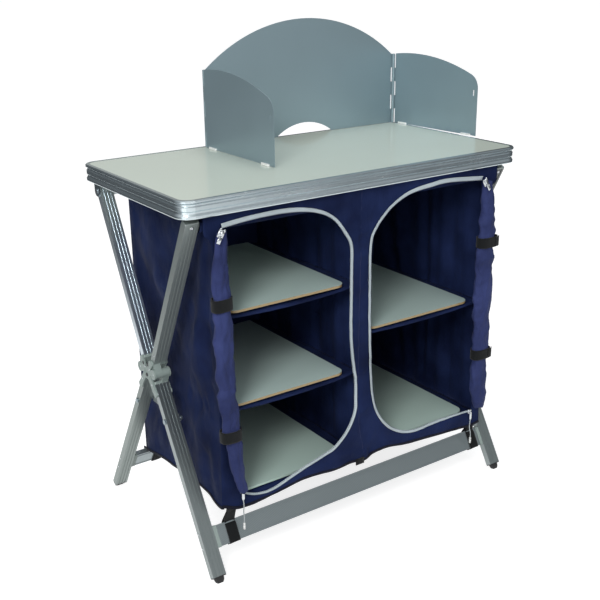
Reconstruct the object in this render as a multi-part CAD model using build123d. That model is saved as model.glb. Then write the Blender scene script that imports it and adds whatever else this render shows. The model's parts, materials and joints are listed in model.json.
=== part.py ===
from build123d import *
import os
from math import atan2, cos, degrees, hypot, pi, radians, sin, sqrt, tan

# Folding camp kitchen table with a cloth cabinet and a three-panel windscreen.
# Millimetres. +X along the table, +Y towards the back, +Z up.
# Origin: on the floor, under the middle of the table top.

# ---------------------------------------------------------------- table top
TOP_WIDTH = 860.0          # outside the edge profile, along X
TOP_DEPTH = 445.0          # outside the edge profile, along Y
TOP_HEIGHT = 799.0         # floor to the top of the edge profile
CORNER_RADIUS = 30.0       # outside corner of the edge profile
PROFILE_HEIGHT = 35.0
PROFILE_WALL = 1.6
PROFILE_LIP = 9.0          # width of the lip that laps over the board
LIP_THICKNESS = 0.6
PROFILE_FLANGE = 13.0      # width of the flange along the profile's foot
PROFILE_BEAD = 3.2         # bead along the top, out from the web
PROFILE_BEAD_EDGES = (8.0, 4.8, 1.8)       # from the top down to the bead's lower, flat and upper edge
PROFILE_ROUND = 1.8
PROFILE_RIDGE = 1.7        # ridge half-way down, out from the web
PROFILE_RIDGE_EDGES = (13.0, 15.0, 22.0, 24.0)     # heights above the foot
PROFILE_TOE = 2.4          # bead along the foot, out from the web
PROFILE_TOE_EDGES = (1.6, 5.5, 9.5)
PROFILE_TOE_CHAMFER = 0.8
LIP_GAP = 0.5              # edge of the lip to the board's raised field
BOARD_THICKNESS = 9.0
BOARD_SINK = 0.3           # board's face below the top of the lip
BOARD_GAP = 0.2            # board's edge to the web of the profile
BOARD_REBATE = 0.4         # step in the board's upper edge, under the lip

# ---------------------------------------------------------------- legs
LEG_WIDTH = 30.0           # along X
LEG_THICKNESS = 15.0
LEG_WALL = 1.4
LEG_INSET = 19.0           # edge of the top to the outer face of the legs
GROOVE_WIDTH = 3.2
GROOVE_DEPTH = 0.8
GROOVE_PITCH = 7.5
GROOVES = 3
PIN_SPREAD = 29.0          # half the distance between the two hub pins
PIN_HEIGHT = 392.0
PIN_DIAMETER = 6.0
PIN_OFFSET = 18.0          # hub pin to the centre line of each half-leg
RUNNING_GAP = 0.08         # radial gap round a pin that turns
SIDE_GAP = 0.3             # gap between faces that slide past each other
UPPER_END_INSET = 29.3     # edge of the top to the upper end of a leg, along Y
UPPER_END_DROP = 45.0      # top of the profile to the upper end of a leg
FOOT_SPREAD = 241.0        # half the distance between front and rear feet
FOOT_LENGTH = 12.0         # end of the tube to the floor, along the leg
FOOT_RIM = 2.0
FOOT_TENON = 14.0
FOOT_DOME_WIDTH = 21.0
FOOT_DOME_THICKNESS = 11.0
FOOT_PAD_DEPTH = 2.5       # cut off the dome by the floor
FOOT_DOME_CORNER = 3.5
END_CAP = 4.0
END_CAP_STEM = 3.0
END_CAP_CORNER = 2.0
END_CAP_CROWN = 1.4
PLUG_LAP = 0.5             # moulded end pieces run into each other by this

# ---------------------------------------------------------------- hub
KNUCKLE_RADIUS = 10.0
COLLAR_START = 14.0        # along the leg, from beside the hub pin
COLLAR_LENGTH = 6.0
COLLAR_CORNER = 1.5
TONGUE_LENGTH = 26.0
TONGUE_GAP = 0.1
PLATE_THICKNESS = 4.0
INNER_PLATE_THICKNESS = 2.4
PLATE_ARM_WIDTH = 15.0
PLATE_UPPER_ARM = 22.0
PLATE_LOWER_ARM = 46.0
PLATE_LOBE_RADIUS = 11.0
PLATE_BRIDGE = 14.0        # height of the plate between its pins
PLATE_CENTRE_DROP = 4.0    # hub pins to the plate's middle
PLATE_BOSS_RADIUS = 14.0
POCKET_RADIUS = 9.0
POCKET_DEPTH = 1.0
PIN_SEAT_GAP = 0.05        # radial gap round a pin in the plates
PIN_RECESS = 0.8           # pin's end below the face of the outer plate

# ---------------------------------------------------------------- bars and stays
LOWER_BAR_HEIGHT = 44.0    # along the legs
LOWER_BAR_THICKNESS = 12.0
BAR_GROOVE_PITCH = 34.0    # one groove near each edge
LOWER_BAR_FRONT_Z = 76.0
LOWER_BAR_REAR_Z = 84.0
BAR_WALL = 1.4
BAR_END_LENGTH = 9.0
BAR_END_LAP = 1.0
BAR_END_CORNER = 2.0
UPPER_BAR_HEIGHT = 20.0
UPPER_BAR_THICKNESS = 10.0
UPPER_BAR_GROOVE_PITCH = 7.0
UPPER_BAR_DROP = 16.0      # end of the upper leg to the middle of the bar
STAY_Z = 297.0
STAY_HEIGHT = 14.0
STAY_THICKNESS = 2.5
STAY_END = 9.0             # bar beyond each bolt
STAY_GAP = 0.6             # stay to the hub's inner plate
BOLT_DIAMETER = 6.0
BOLT_HEAD_RADIUS = 5.5
BOLT_HEAD_HEIGHT = 2.6
BOLT_HOLE_GAP = 0.15
NOTCH_REAR = 3.6           # bolt's axis to the closed side of the stay's notch
NOTCH_FRONT = 9.5          # bolt's axis to the open side of the notch
NOTCH_TOP = 3.2            # bolt's axis to the top of the notch
NOTCH_CHAMFER = 1.0

# ---------------------------------------------------------------- pivots of the top
PIVOT_BACK_OFF = 14.0      # end of the upper rear leg to the pivot pin
PIVOT_DIAMETER = 6.0
BRACKET_THICKNESS = 2.0
BRACKET_WIDTH = 24.0
BRACKET_FLANGE = 4.0       # inner end of the bracket beyond the leg
PIVOT_HEAD_HEIGHT = 1.6
REST_GAP = 0.5             # front rest to the end cap below it
REST_REACH = (6.0, 20.0)   # in front of and behind the leg's end
REST_WALL = 2.5
REST_SKIN = 3.0
REST_RIB = 2.4

# ---------------------------------------------------------------- cloth cabinet
CABINET_SIDE_GAP = 21.0    # inner face of the legs to the side panels
CABINET_FRONT_INSET = 15.0 # front edge of the top to the front panel
CABINET_REAR_INSET = 24.0
CLOTH = 1.5
HEM_Z = 132.0
FLOOR_Z = 157.0            # upper face of the cabinet's cloth floor
PANEL_TOP_DROP = 8.0       # foot of the profile to the hems of front and back panel
SIDE_TOP_DROP = 36.0       # foot of the profile to the hems of side panels
DIVIDER_X = -7.0
DOOR_JAMB = 23.5           # divider to the door opening, each side
DOOR_OUTER_MARGIN = 24.0   # side panel to the door opening
DOOR_SILL_Z = 155.0
DOOR_HEAD_DROP = 12.0      # hem of the front panel to the door opening
DOOR_TOP_RADIUS = 125.0
DOOR_BOTTOM_RADIUS = 110.0
DOOR_OUTER_RADIUS = 12.0
TAPE_WIDTH = 9.0
TAPE_THICKNESS = 1.1
TAPE_GAP = 0.1

# ---------------------------------------------------------------- shelves
SHELF_THICKNESS = 5.0
SHELF_SIDE_CLEARANCE = 36.5    # side panel to the shelf
SHELF_INNER_CLEARANCE = 32.0   # divider to the shelf
SHELF_FRONT_CLEARANCE = 11.0   # front panel to the shelf
SHELF_REAR_CLEARANCE = 6.0
SHELF_FRONT_RADIUS = 22.0
SHELF_REAR_RADIUS = 6.0
SHELF_TOPS = {"left_top": 561.0, "left_middle": 361.0, "right_middle": 447.0}
BOTTOM_LIFT = 1.0          # bottom boards above the cloth floor
SLING_GAP = 0.4
SLING_LIP = 13.0
SLING_SETBACK = 2.0        # shelf's front edge to the sling's lip

# ---------------------------------------------------------------- door rolls and straps
ROLL_WIDTH = 50.0
ROLL_THICKNESS = 25.0
ROLL_OUTSET = 15.0         # roll's outer edge beyond the side panel
ROLL_TOP_DROP = 24.0       # hem of the front panel to the top of the roll
ROLL_BOTTOM_RISE = 23.0    # sill of the door to the foot of the roll
ROLL_TAPER = 40.0          # length of the thinner part at each end
ROLL_THIN_SHARE = 0.8
ROLL_GAP = 0.4             # zip tape to the roll
ROLL_STRAP_HEIGHT = 34.0
STRAP_GAP = 0.3            # between a rolled door and its bands
ROLL_STRAP_THICKNESS = 1.8
ROLL_STRAP_DROP = 143.0    # top of the roll to the middle of the upper band
ROLL_STRAP_RISE = 135.0    # foot of the roll to the middle of the lower band
STRAP_SEAT = 0.1           # zip tape to the bands' ends
WEBBING_WIDTH = 25.0
WEBBING_THICKNESS = 1.8
WEBBING_GAP = 0.4
WEBBING_STEM_GAP = 3.0     # hem to the top of a lower strap
WEBBING_CORNER = 2.5
FRONT_STRAP_INSETS = {"left": 21.0, "right": 15.0}     # side panel to the middle of a strap
REAR_STRAP_INSET = 46.0

# ---------------------------------------------------------------- zip pulls
SLIDER_SIZE = (9.0, 4.5, 12.0)
SLIDER_CORNER = 2.0
SLIDER_GAP = 0.1           # zip tape to the slider behind its tab
LOW_SLIDER_RISES = {"left": 17.0, "right": 8.0}        # sill of the door to the slider
LOW_SLIDER_INSETS = {"left": 18.0, "right": 7.0}       # outer edge of the door to the slider
HIGH_SLIDER_DROP = 20.0    # head of the door to the upper slider
TAB_SIZE = (6.0, 1.6, 20.0)
TAB_CORNER = 1.8
TAB_EYE_RADIUS = 1.2
TAB_EYE_DROP = 3.2
TAB_GAP = 0.8              # slider to the near face of its tab
CORD_DIAMETER = 2.4
TIP_RADIUS = 2.6
TIP_LENGTH = 15.0
TIP_ROUND = 0.8

# ---------------------------------------------------------------- windscreen
SHEET = 1.0
SCREEN_WIDTH = 549.5       # between the axes of the two hinges
SCREEN_RIGHT_INSET = 9.5   # right edge of the top to the axis of the right hinge
SCREEN_BACK_INSET = 14.5   # rear edge of the top to the hinge axes
SCREEN_SIDE_HEIGHT = 172.0 # height at the hinges
SCREEN_RISE = 98.0         # arch above the hinges
SCREEN_LIFT = 0.6          # lower edge above the edge profile
CUTOUT_HALF_WIDTH = 81.0
CUTOUT_HEIGHT = 27.0
WING_LENGTHS = {"left": 284.0, "right": 281.0}
WING_CREST_U = 72.0        # highest point of a wing, from its hinge
WING_CREST_RADIUS = 520.0
WING_NOSE_RADIUS = 34.0
WING_OPEN = {"left": 0.0, "right": 3.6}    # degrees past a right angle
HINGE_RADIUS = 4.0
HINGE_ROD_RADIUS = 2.0
HINGE_KNUCKLES = 5
KNUCKLE_GAP = 0.6
HINGE_NOTCH = 5.2          # hinge axis to the edge of a sheet beside it
SCREEN_FOOT = (30.0, 8.0, 4.0)
SCREEN_FOOT_CORNER = 3.5
SCREEN_FOOT_OUT = 0.0      # middle of a foot beyond the sheet, away from the centre panel
FOOT_POSITIONS = (34.0, 250.0)
FOOT_GAP = 0.05            # feet above the edge profile, which they slide over
CATCH_WIDTH = 3.0
CATCH_HEIGHT = 14.0
CATCH_U = 12.0             # front edge of a wing to its catch slot
CATCH_Z = 100.0

# ---------------------------------------------------------------- places worked out
HALF_WIDTH = TOP_WIDTH / 2
HALF_DEPTH = TOP_DEPTH / 2
PROFILE_FOOT_Z = TOP_HEIGHT - PROFILE_HEIGHT
BOARD_TOP_Z = TOP_HEIGHT - BOARD_SINK
BOARD_UNDER_Z = BOARD_TOP_Z - BOARD_THICKNESS
LEG_X = HALF_WIDTH - LEG_INSET - LEG_WIDTH / 2
LEG_INNER_X = LEG_X - LEG_WIDTH / 2
LEG_OUTER_X = LEG_X + LEG_WIDTH / 2
COLLAR_END = COLLAR_START + COLLAR_LENGTH
CABINET_X = LEG_INNER_X - CABINET_SIDE_GAP
FRONT_Y = -(HALF_DEPTH - CABINET_FRONT_INSET)
REAR_Y = HALF_DEPTH - CABINET_REAR_INSET
PANEL_TOP_Z = PROFILE_FOOT_Z - PANEL_TOP_DROP
SIDE_TOP_Z = PROFILE_FOOT_Z - SIDE_TOP_DROP
HINGE_Y = HALF_DEPTH - SCREEN_BACK_INSET
SCREEN_RIGHT_X = HALF_WIDTH - SCREEN_RIGHT_INSET
SCREEN_LEFT_X = SCREEN_RIGHT_X - SCREEN_WIDTH
SHEET_OFFSET = HINGE_RADIUS - SHEET / 2
SIDES = {"left": -1, "right": 1}
DOOR_OUTER_X = CABINET_X - DOOR_OUTER_MARGIN
DOOR_HEAD_Z = PANEL_TOP_Z - DOOR_HEAD_DROP
ROLL_TOP_Z = PANEL_TOP_Z - ROLL_TOP_DROP
ROLL_BOTTOM_Z = DOOR_SILL_Z + ROLL_BOTTOM_RISE
ROLL_STRAP_ZS = (ROLL_TOP_Z - ROLL_STRAP_DROP, ROLL_BOTTOM_Z + ROLL_STRAP_RISE)
LOW_SLIDER_ZS = {side: DOOR_SILL_Z + rise for side, rise in LOW_SLIDER_RISES.items()}
LOW_SLIDER_XS = {side: SIDES[side] * (DOOR_OUTER_X - inset) for side, inset in LOW_SLIDER_INSETS.items()}
HIGH_SLIDER_Z = DOOR_HEAD_Z - HIGH_SLIDER_DROP
FRONT_STRAP_XS = (
    FRONT_STRAP_INSETS["left"] - CABINET_X, CABINET_X - FRONT_STRAP_INSETS["right"], DIVIDER_X
)
REAR_STRAP_XS = (REAR_STRAP_INSET - CABINET_X, CABINET_X - REAR_STRAP_INSET)


def reach_from_pin(out, drop):
    """Lean in degrees and length of a half-leg whose end lies out, drop from its hub pin."""
    length = sqrt(hypot(out, drop) ** 2 - PIN_OFFSET ** 2)
    lean = degrees(atan2(out, drop) + atan2(PIN_OFFSET, length))
    return lean, length


UPPER_LEAN, UPPER_LENGTH = reach_from_pin(
    HALF_DEPTH - UPPER_END_INSET - PIN_SPREAD, TOP_HEIGHT - UPPER_END_DROP - PIN_HEIGHT
)
LOWER_LEAN, LOWER_LENGTH = reach_from_pin(FOOT_SPREAD - PIN_SPREAD, PIN_HEIGHT)


class HalfLeg:
    """Geometry of one half-leg: out is -1 in front or 1 behind, up is 1 above or -1 below the hub."""

    def __init__(self, x, out, up):
        lean = radians(UPPER_LEAN if up > 0 else LOWER_LEAN)
        self.length = UPPER_LENGTH if up > 0 else LOWER_LENGTH
        self.x = x
        self.lean = lean
        self.out = out
        self.up = up
        self.along = Vector(0, out * sin(lean), up * cos(lean))
        self.to_pin = Vector(0, out * cos(lean), -up * sin(lean))
        self.pin = Vector(x, out * PIN_SPREAD, PIN_HEIGHT)
        self.base = self.pin - self.to_pin * PIN_OFFSET

    def at(self, distance):
        return self.base + self.along * distance

    def at_height(self, z):
        """Distance along the leg at which its centre line is at height z."""
        return (z - self.base.Z) / self.along.Z

    def cross_plane(self, distance):
        return Plane(self.at(distance), x_dir=(1, 0, 0), z_dir=self.along)

    def side_plane(self, x):
        """Plane across X with its own x towards the pin and its own y along the leg."""
        origin = Vector(x, self.base.Y, self.base.Z)
        return Plane(origin, x_dir=self.to_pin, z_dir=(self.out * self.up, 0, 0))


def save(name, *pieces):
    solids = [solid for piece in pieces for solid in piece.solids()]
    shape = solids[0] if len(solids) == 1 else Compound(children=solids)
    shape.label = name
    export_step(shape, f"parts/{name}.step")


def block(x0, x1, y0, y1, z0, z1):
    """Box between two corners."""
    return Pos((x0 + x1) / 2, (y0 + y1) / 2, (z0 + z1) / 2) * Box(x1 - x0, y1 - y0, z1 - z0)


def rod(x0, x1, y, z, radius):
    """Round bar along X."""
    return Pos((x0 + x1) / 2, y, z) * Rot(0, 90, 0) * Cylinder(radius, abs(x1 - x0))


def upright(profile, y0, y1):
    """Sketch drawn in X and Z, made thick from y0 to y1."""
    plane = Plane((0, y1, 0), x_dir=(1, 0, 0), z_dir=(0, -1, 0))
    return extrude(plane * profile, amount=y1 - y0)


# ================================================================ table top
def profile_section():
    """Section of the edge profile: x outwards from the top's edge, y up from the profile's foot."""
    web = -PROFILE_BEAD
    h = PROFILE_HEIGHT
    toe_low, toe_high, toe_end = PROFILE_TOE_EDGES
    ridge_foot, ridge_low, ridge_high, ridge_head = PROFILE_RIDGE_EDGES
    bead_foot, bead_low, bead_high = PROFILE_BEAD_EDGES
    ledge = BOARD_UNDER_Z - PROFILE_FOOT_Z
    outside = Polyline(
        (web + PROFILE_TOE - PROFILE_TOE_CHAMFER, 0), (web + PROFILE_TOE, toe_low),
        (web + PROFILE_TOE, toe_high), (web, toe_end), (web, ridge_foot),
        (web + PROFILE_RIDGE, ridge_low), (web + PROFILE_RIDGE, ridge_high), (web, ridge_head),
        (web, h - bead_foot), (0, h - bead_low), (0, h - bead_high), (-PROFILE_ROUND, h),
        (-PROFILE_LIP, h), (-PROFILE_LIP, h - LIP_THICKNESS),
        (web - PROFILE_WALL, h - LIP_THICKNESS), (web - PROFILE_WALL, ledge),
        (-PROFILE_FLANGE, ledge), (-PROFILE_FLANGE, ledge - PROFILE_WALL),
        (web - PROFILE_WALL, ledge - PROFILE_WALL), (web - PROFILE_WALL, PROFILE_WALL),
        (-PROFILE_FLANGE, PROFILE_WALL), (-PROFILE_FLANGE, 0),
        close=True,
    )
    return make_face(outside)


def edge_profile():
    """The bent profile round the board, swept in one closed run through its four corners."""
    path = Plane.XY.offset(PROFILE_FOOT_Z) * RectangleRounded(
        TOP_WIDTH, TOP_DEPTH, CORNER_RADIUS
    ).wire()
    start = Plane((0, -HALF_DEPTH, PROFILE_FOOT_Z), x_dir=(0, -1, 0), z_dir=(-1, 0, 0))
    return sweep(start * profile_section(), path=path)


def table_board():
    inset = PROFILE_BEAD + PROFILE_WALL + BOARD_GAP
    outline = RectangleRounded(
        TOP_WIDTH - 2 * inset, TOP_DEPTH - 2 * inset, CORNER_RADIUS - inset
    )
    lower = extrude(Plane.XY.offset(BOARD_UNDER_Z) * outline, amount=BOARD_THICKNESS - BOARD_REBATE)
    field = RectangleRounded(
        TOP_WIDTH - 2 * (PROFILE_LIP + LIP_GAP), TOP_DEPTH - 2 * (PROFILE_LIP + LIP_GAP),
        CORNER_RADIUS - PROFILE_LIP,
    )
    face = extrude(Plane.XY.offset(BOARD_TOP_Z - BOARD_REBATE) * field, amount=BOARD_REBATE)
    return lower + face


def rear_brackets():
    """Angle brackets under the board, each with one ear outside an upper rear leg."""
    brackets = []
    for side in (-1, 1):
        leg = HalfLeg(side * LEG_X, 1, 1)
        pivot = leg.at(leg.length - PIVOT_BACK_OFF)
        y0 = pivot.Y - BRACKET_WIDTH / 2
        y1 = pivot.Y + BRACKET_WIDTH / 2
        x0, x1 = sorted((side * (LEG_OUTER_X + SIDE_GAP),
                         side * (LEG_OUTER_X + SIDE_GAP + BRACKET_THICKNESS)))
        ear = block(x0, x1, y0, y1, pivot.Z, BOARD_UNDER_Z)
        ear += rod(x0, x1, pivot.Y, pivot.Z, BRACKET_WIDTH / 2)
        shelf = sorted((side * (LEG_INNER_X - BRACKET_FLANGE), side * (LEG_OUTER_X + SIDE_GAP + 1)))
        plate = block(shelf[0], shelf[1], y0, y1, BOARD_UNDER_Z - BRACKET_THICKNESS, BOARD_UNDER_Z)
        hole = rod(x0 - 1, x1 + 1, pivot.Y, pivot.Z, PIVOT_DIAMETER / 2 + RUNNING_GAP)
        brackets.append(ear + plate - hole)
    return brackets


def rear_pivot_pins():
    """Headed pins that join the upper rear legs to the brackets of the top."""
    pins = []
    for side in (-1, 1):
        leg = HalfLeg(side * LEG_X, 1, 1)
        pivot = leg.at(leg.length - PIVOT_BACK_OFF)
        face = side * (LEG_OUTER_X + 2 * SIDE_GAP + BRACKET_THICKNESS)
        shank = rod(side * LEG_INNER_X, face, pivot.Y, pivot.Z, PIVOT_DIAMETER / 2)
        head = rod(face, face + side * PIVOT_HEAD_HEIGHT, pivot.Y, pivot.Z, BOLT_HEAD_RADIUS)
        pins.append(shank + head)
    return pins


def front_rests():
    """Moulded blocks under the board that sit over the ends of the upper front legs."""
    rests = []
    for side in (-1, 1):
        leg = HalfLeg(side * LEG_X, -1, 1)
        end = leg.at(leg.length)
        crown = end.Z + LEG_THICKNESS / 2 * sin(leg.lean)
        half = LEG_WIDTH / 2
        y0, y1 = end.Y - REST_REACH[0], end.Y + REST_REACH[1]
        foot = crown + REST_GAP
        body = block(leg.x - half, leg.x + half, y0, y1, foot, BOARD_UNDER_Z)
        core = block(leg.x - half + REST_WALL, leg.x + half - REST_WALL, y0 + REST_WALL,
                     y1 - REST_WALL, foot + REST_SKIN, BOARD_UNDER_Z)
        rib = block(leg.x - REST_RIB / 2, leg.x + REST_RIB / 2, y0 + REST_WALL / 2,
                    y1 - REST_WALL / 2, foot + REST_SKIN / 2, BOARD_UNDER_Z)
        rests.append(body - core + rib)
    return rests


# ================================================================ half-legs
def ribbed_section(width, thickness, wall, pitch, count):
    """Box section with lengthwise grooves in its two wide faces."""
    section = Rectangle(width, thickness)
    for i in range(count):
        x = (i - (count - 1) / 2) * pitch
        for face in (-1, 1):
            section -= Pos(x, face * thickness / 2) * Rectangle(GROOVE_WIDTH, 2 * GROOVE_DEPTH)
    bore = Rectangle(width - 2 * (wall + GROOVE_DEPTH), thickness - 2 * (wall + GROOVE_DEPTH))
    return section - bore


def bolt_distance(leg):
    """Distance along a lower half-leg to the bolt of the stay."""
    return leg.at_height(STAY_Z)


def leg_tube(leg):
    end = leg.length - END_CAP if leg.up > 0 else leg.length - FOOT_LENGTH
    section = ribbed_section(LEG_WIDTH, LEG_THICKNESS, LEG_WALL, GROOVE_PITCH, GROOVES)
    tube = extrude(leg.cross_plane(COLLAR_END) * section, amount=end - COLLAR_END)
    if leg.up < 0:
        bolt = leg.at(bolt_distance(leg))
        radius = BOLT_DIAMETER / 2 + BOLT_HOLE_GAP
        tube -= rod(leg.x - LEG_WIDTH, leg.x + LEG_WIDTH, bolt.Y, bolt.Z, radius)
    elif leg.out > 0:
        pivot = leg.at(leg.length - PIVOT_BACK_OFF)
        radius = PIVOT_DIAMETER / 2 + RUNNING_GAP
        tube -= rod(leg.x - LEG_WIDTH, leg.x + LEG_WIDTH, pivot.Y, pivot.Z, radius)
    return tube


def knuckle(leg):
    """Moulded end of a half-leg: tongue in the tube, collar, and half of a barrel on the hub pin."""
    # The lower leg carries the inner half of each barrel and the upper leg the outer half.
    outward = 1 if leg.x > 0 else -1
    half = outward if leg.up > 0 else -outward
    barrel_width = LEG_WIDTH / 2 - SIDE_GAP / 2
    barrel_x = leg.x + half * (LEG_WIDTH / 2 - barrel_width / 2)
    inner = LEG_WALL + GROOVE_DEPTH + TONGUE_GAP
    tongue = extrude(
        leg.cross_plane(COLLAR_START + 1)
        * Rectangle(LEG_WIDTH - 2 * inner, LEG_THICKNESS - 2 * inner),
        amount=COLLAR_LENGTH - 1 + TONGUE_LENGTH,
    )
    collar = extrude(
        leg.cross_plane(COLLAR_START) * RectangleRounded(LEG_WIDTH, LEG_THICKNESS, COLLAR_CORNER),
        amount=COLLAR_LENGTH,
    )
    r = KNUCKLE_RADIUS
    web_plane = leg.side_plane(barrel_x)
    web_outline = Polyline(
        (-LEG_THICKNESS / 2 + 1, COLLAR_START + 2), (-LEG_THICKNESS / 2 + 1, COLLAR_START),
        (PIN_OFFSET - 0.6 * r, -0.8 * r), (PIN_OFFSET + 0.8 * r, 0.6 * r),
        (LEG_THICKNESS / 2, COLLAR_END - 1), (LEG_THICKNESS / 2 - 1, COLLAR_START + 2),
        close=True,
    )
    web = extrude(web_plane * make_face(web_outline), amount=barrel_width / 2, both=True)
    barrel = rod(barrel_x - barrel_width / 2, barrel_x + barrel_width / 2,
                 leg.pin.Y, leg.pin.Z, r)
    bore = rod(leg.x - LEG_WIDTH, leg.x + LEG_WIDTH, leg.pin.Y, leg.pin.Z,
               PIN_DIAMETER / 2 + RUNNING_GAP)
    return tongue + collar + web + barrel - bore


def end_cap(leg):
    """Plug in the top end of an upper half-leg, with a crowned head."""
    inner = LEG_WALL + GROOVE_DEPTH + TONGUE_GAP
    head = extrude(
        leg.cross_plane(leg.length - END_CAP)
        * RectangleRounded(LEG_WIDTH, LEG_THICKNESS, END_CAP_CORNER),
        amount=END_CAP,
    )
    head = fillet(head.faces().sort_by(Axis(leg.at(0), leg.along))[-1].edges(), END_CAP_CROWN)
    stem = extrude(
        leg.cross_plane(leg.length - END_CAP - END_CAP_STEM)
        * Rectangle(LEG_WIDTH - 2 * inner, LEG_THICKNESS - 2 * inner),
        amount=END_CAP_STEM + PLUG_LAP,
    )
    return head + stem


def boot(leg):
    """Rubber plug in the lower end: a tenon in the tube, a rim, and a dome cut level with the floor."""
    end = leg.length - FOOT_LENGTH
    inner = LEG_WALL + GROOVE_DEPTH + TONGUE_GAP
    tenon = extrude(
        leg.cross_plane(end - FOOT_TENON)
        * Rectangle(LEG_WIDTH - 2 * inner, LEG_THICKNESS - 2 * inner),
        amount=FOOT_TENON + FOOT_RIM,
    )
    rim = extrude(leg.cross_plane(end) * RectangleRounded(LEG_WIDTH, LEG_THICKNESS, COLLAR_CORNER),
                  amount=FOOT_RIM)
    depth = FOOT_LENGTH - FOOT_RIM + FOOT_PAD_DEPTH
    dome = loft([
        leg.cross_plane(end + FOOT_RIM + depth * share)
        * RectangleRounded(FOOT_DOME_WIDTH * size, FOOT_DOME_THICKNESS * size,
                           FOOT_DOME_CORNER * size)
        for share, size in ((0.0, 1.0), (0.6, 0.9), (1.0, 0.6))
    ])
    below = block(leg.x - 60, leg.x + 60, leg.out * FOOT_SPREAD - 90, leg.out * FOOT_SPREAD + 90,
                  -60, 0)
    return tenon + rim + dome - below


# ================================================================ bars, stays and bolts
def lower_bar_parts(out):
    """Ribbed bar between the lower half-legs of one frame, with a moulded plug at each end."""
    leg = HalfLeg(0, out, -1)
    z = LOWER_BAR_FRONT_Z if out < 0 else LOWER_BAR_REAR_Z
    centre = leg.at(leg.at_height(z))
    reach = LEG_INNER_X - BAR_END_LENGTH
    plane = Plane((-reach, centre.Y, centre.Z), x_dir=leg.along, z_dir=(1, 0, 0))
    section = ribbed_section(LOWER_BAR_HEIGHT, LOWER_BAR_THICKNESS, BAR_WALL, BAR_GROOVE_PITCH, 2)
    bar = extrude(plane * section, amount=2 * reach)
    ends = []
    for side in (-1, 1):
        edge = Plane((side * reach, centre.Y, centre.Z), x_dir=leg.along, z_dir=(side, 0, 0))
        plug = extrude(
            edge * RectangleRounded(LOWER_BAR_HEIGHT + 2 * BAR_END_LAP,
                                    LOWER_BAR_THICKNESS + 2 * BAR_END_LAP, BAR_END_CORNER),
            amount=BAR_END_LENGTH,
        )
        ends.append(plug)
    return bar, ends


def upper_bar(out):
    """Bar between the tops of two upper half-legs: the cabinet hangs from it."""
    leg = HalfLeg(0, out, 1)
    centre = leg.at(leg.length - UPPER_BAR_DROP)
    plane = Plane((-LEG_INNER_X, centre.Y, centre.Z), x_dir=leg.along, z_dir=(1, 0, 0))
    section = ribbed_section(UPPER_BAR_HEIGHT, UPPER_BAR_THICKNESS, BAR_WALL,
                             UPPER_BAR_GROOVE_PITCH, 2)
    return extrude(plane * section, amount=2 * LEG_INNER_X)


# The stay lies beside the inner face of the legs, clear of the hub's inner plate.
STAY_INNER_X = LEG_INNER_X - SIDE_GAP - INNER_PLATE_THICKNESS - STAY_GAP - STAY_THICKNESS


def stay_bolts(out):
    """Bolts through the lower half-legs, with a spacer, and a nut that keeps the stay on."""
    bolts = []
    for side in (-1, 1):
        leg = HalfLeg(side * LEG_X, out, -1)
        place = leg.at(bolt_distance(leg))
        y, z = place.Y, place.Z
        outer = side * LEG_OUTER_X
        head = rod(outer, outer + side * BOLT_HEAD_HEIGHT, y, z, BOLT_HEAD_RADIUS)
        spacer_end = side * (STAY_INNER_X + STAY_THICKNESS + SIDE_GAP)
        spacer = rod(side * LEG_INNER_X, spacer_end, y, z, BOLT_HEAD_RADIUS)
        nut_face = side * (STAY_INNER_X - SIDE_GAP)
        shank = rod(outer, nut_face, y, z, BOLT_DIAMETER / 2)
        nut = rod(nut_face, nut_face - side * BOLT_HEAD_HEIGHT, y, z, BOLT_HEAD_RADIUS)
        bolts.append(head + shank + spacer + nut)
    return bolts


def stay(side):
    """Flat bar that keeps the lower half-legs apart: pivots in front, notched over the rear bolt."""
    front = HalfLeg(side * LEG_X, -1, -1)
    rear = HalfLeg(side * LEG_X, 1, -1)
    y0 = front.at(bolt_distance(front)).Y
    y1 = rear.at(bolt_distance(rear)).Y
    x0, x1 = sorted((side * STAY_INNER_X, side * (STAY_INNER_X + STAY_THICKNESS)))
    half = STAY_HEIGHT / 2
    bar = block(x0, x1, y0, y1 + STAY_END - half, STAY_Z - half, STAY_Z + half)
    bar += rod(x0, x1, y0, STAY_Z, half) + rod(x0, x1, y1 + STAY_END - half, STAY_Z, half)
    hole = rod(x0 - 1, x1 + 1, y0, STAY_Z, BOLT_DIAMETER / 2 + BOLT_HOLE_GAP)
    top = NOTCH_TOP
    mouth = Polyline(
        (y1 + NOTCH_REAR, STAY_Z - half - 1), (y1 + NOTCH_REAR, STAY_Z + top - NOTCH_CHAMFER),
        (y1 + NOTCH_REAR - NOTCH_CHAMFER, STAY_Z + top),
        (y1 - NOTCH_REAR + NOTCH_CHAMFER, STAY_Z + top),
        (y1 - NOTCH_FRONT, STAY_Z - half - 1),
        close=True,
    )
    plane = Plane((x0 - 1, 0, 0), x_dir=(0, 1, 0), z_dir=(1, 0, 0))
    notch = extrude(plane * make_face(mouth), amount=STAY_THICKNESS + 2)
    return bar - hole - notch


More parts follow.
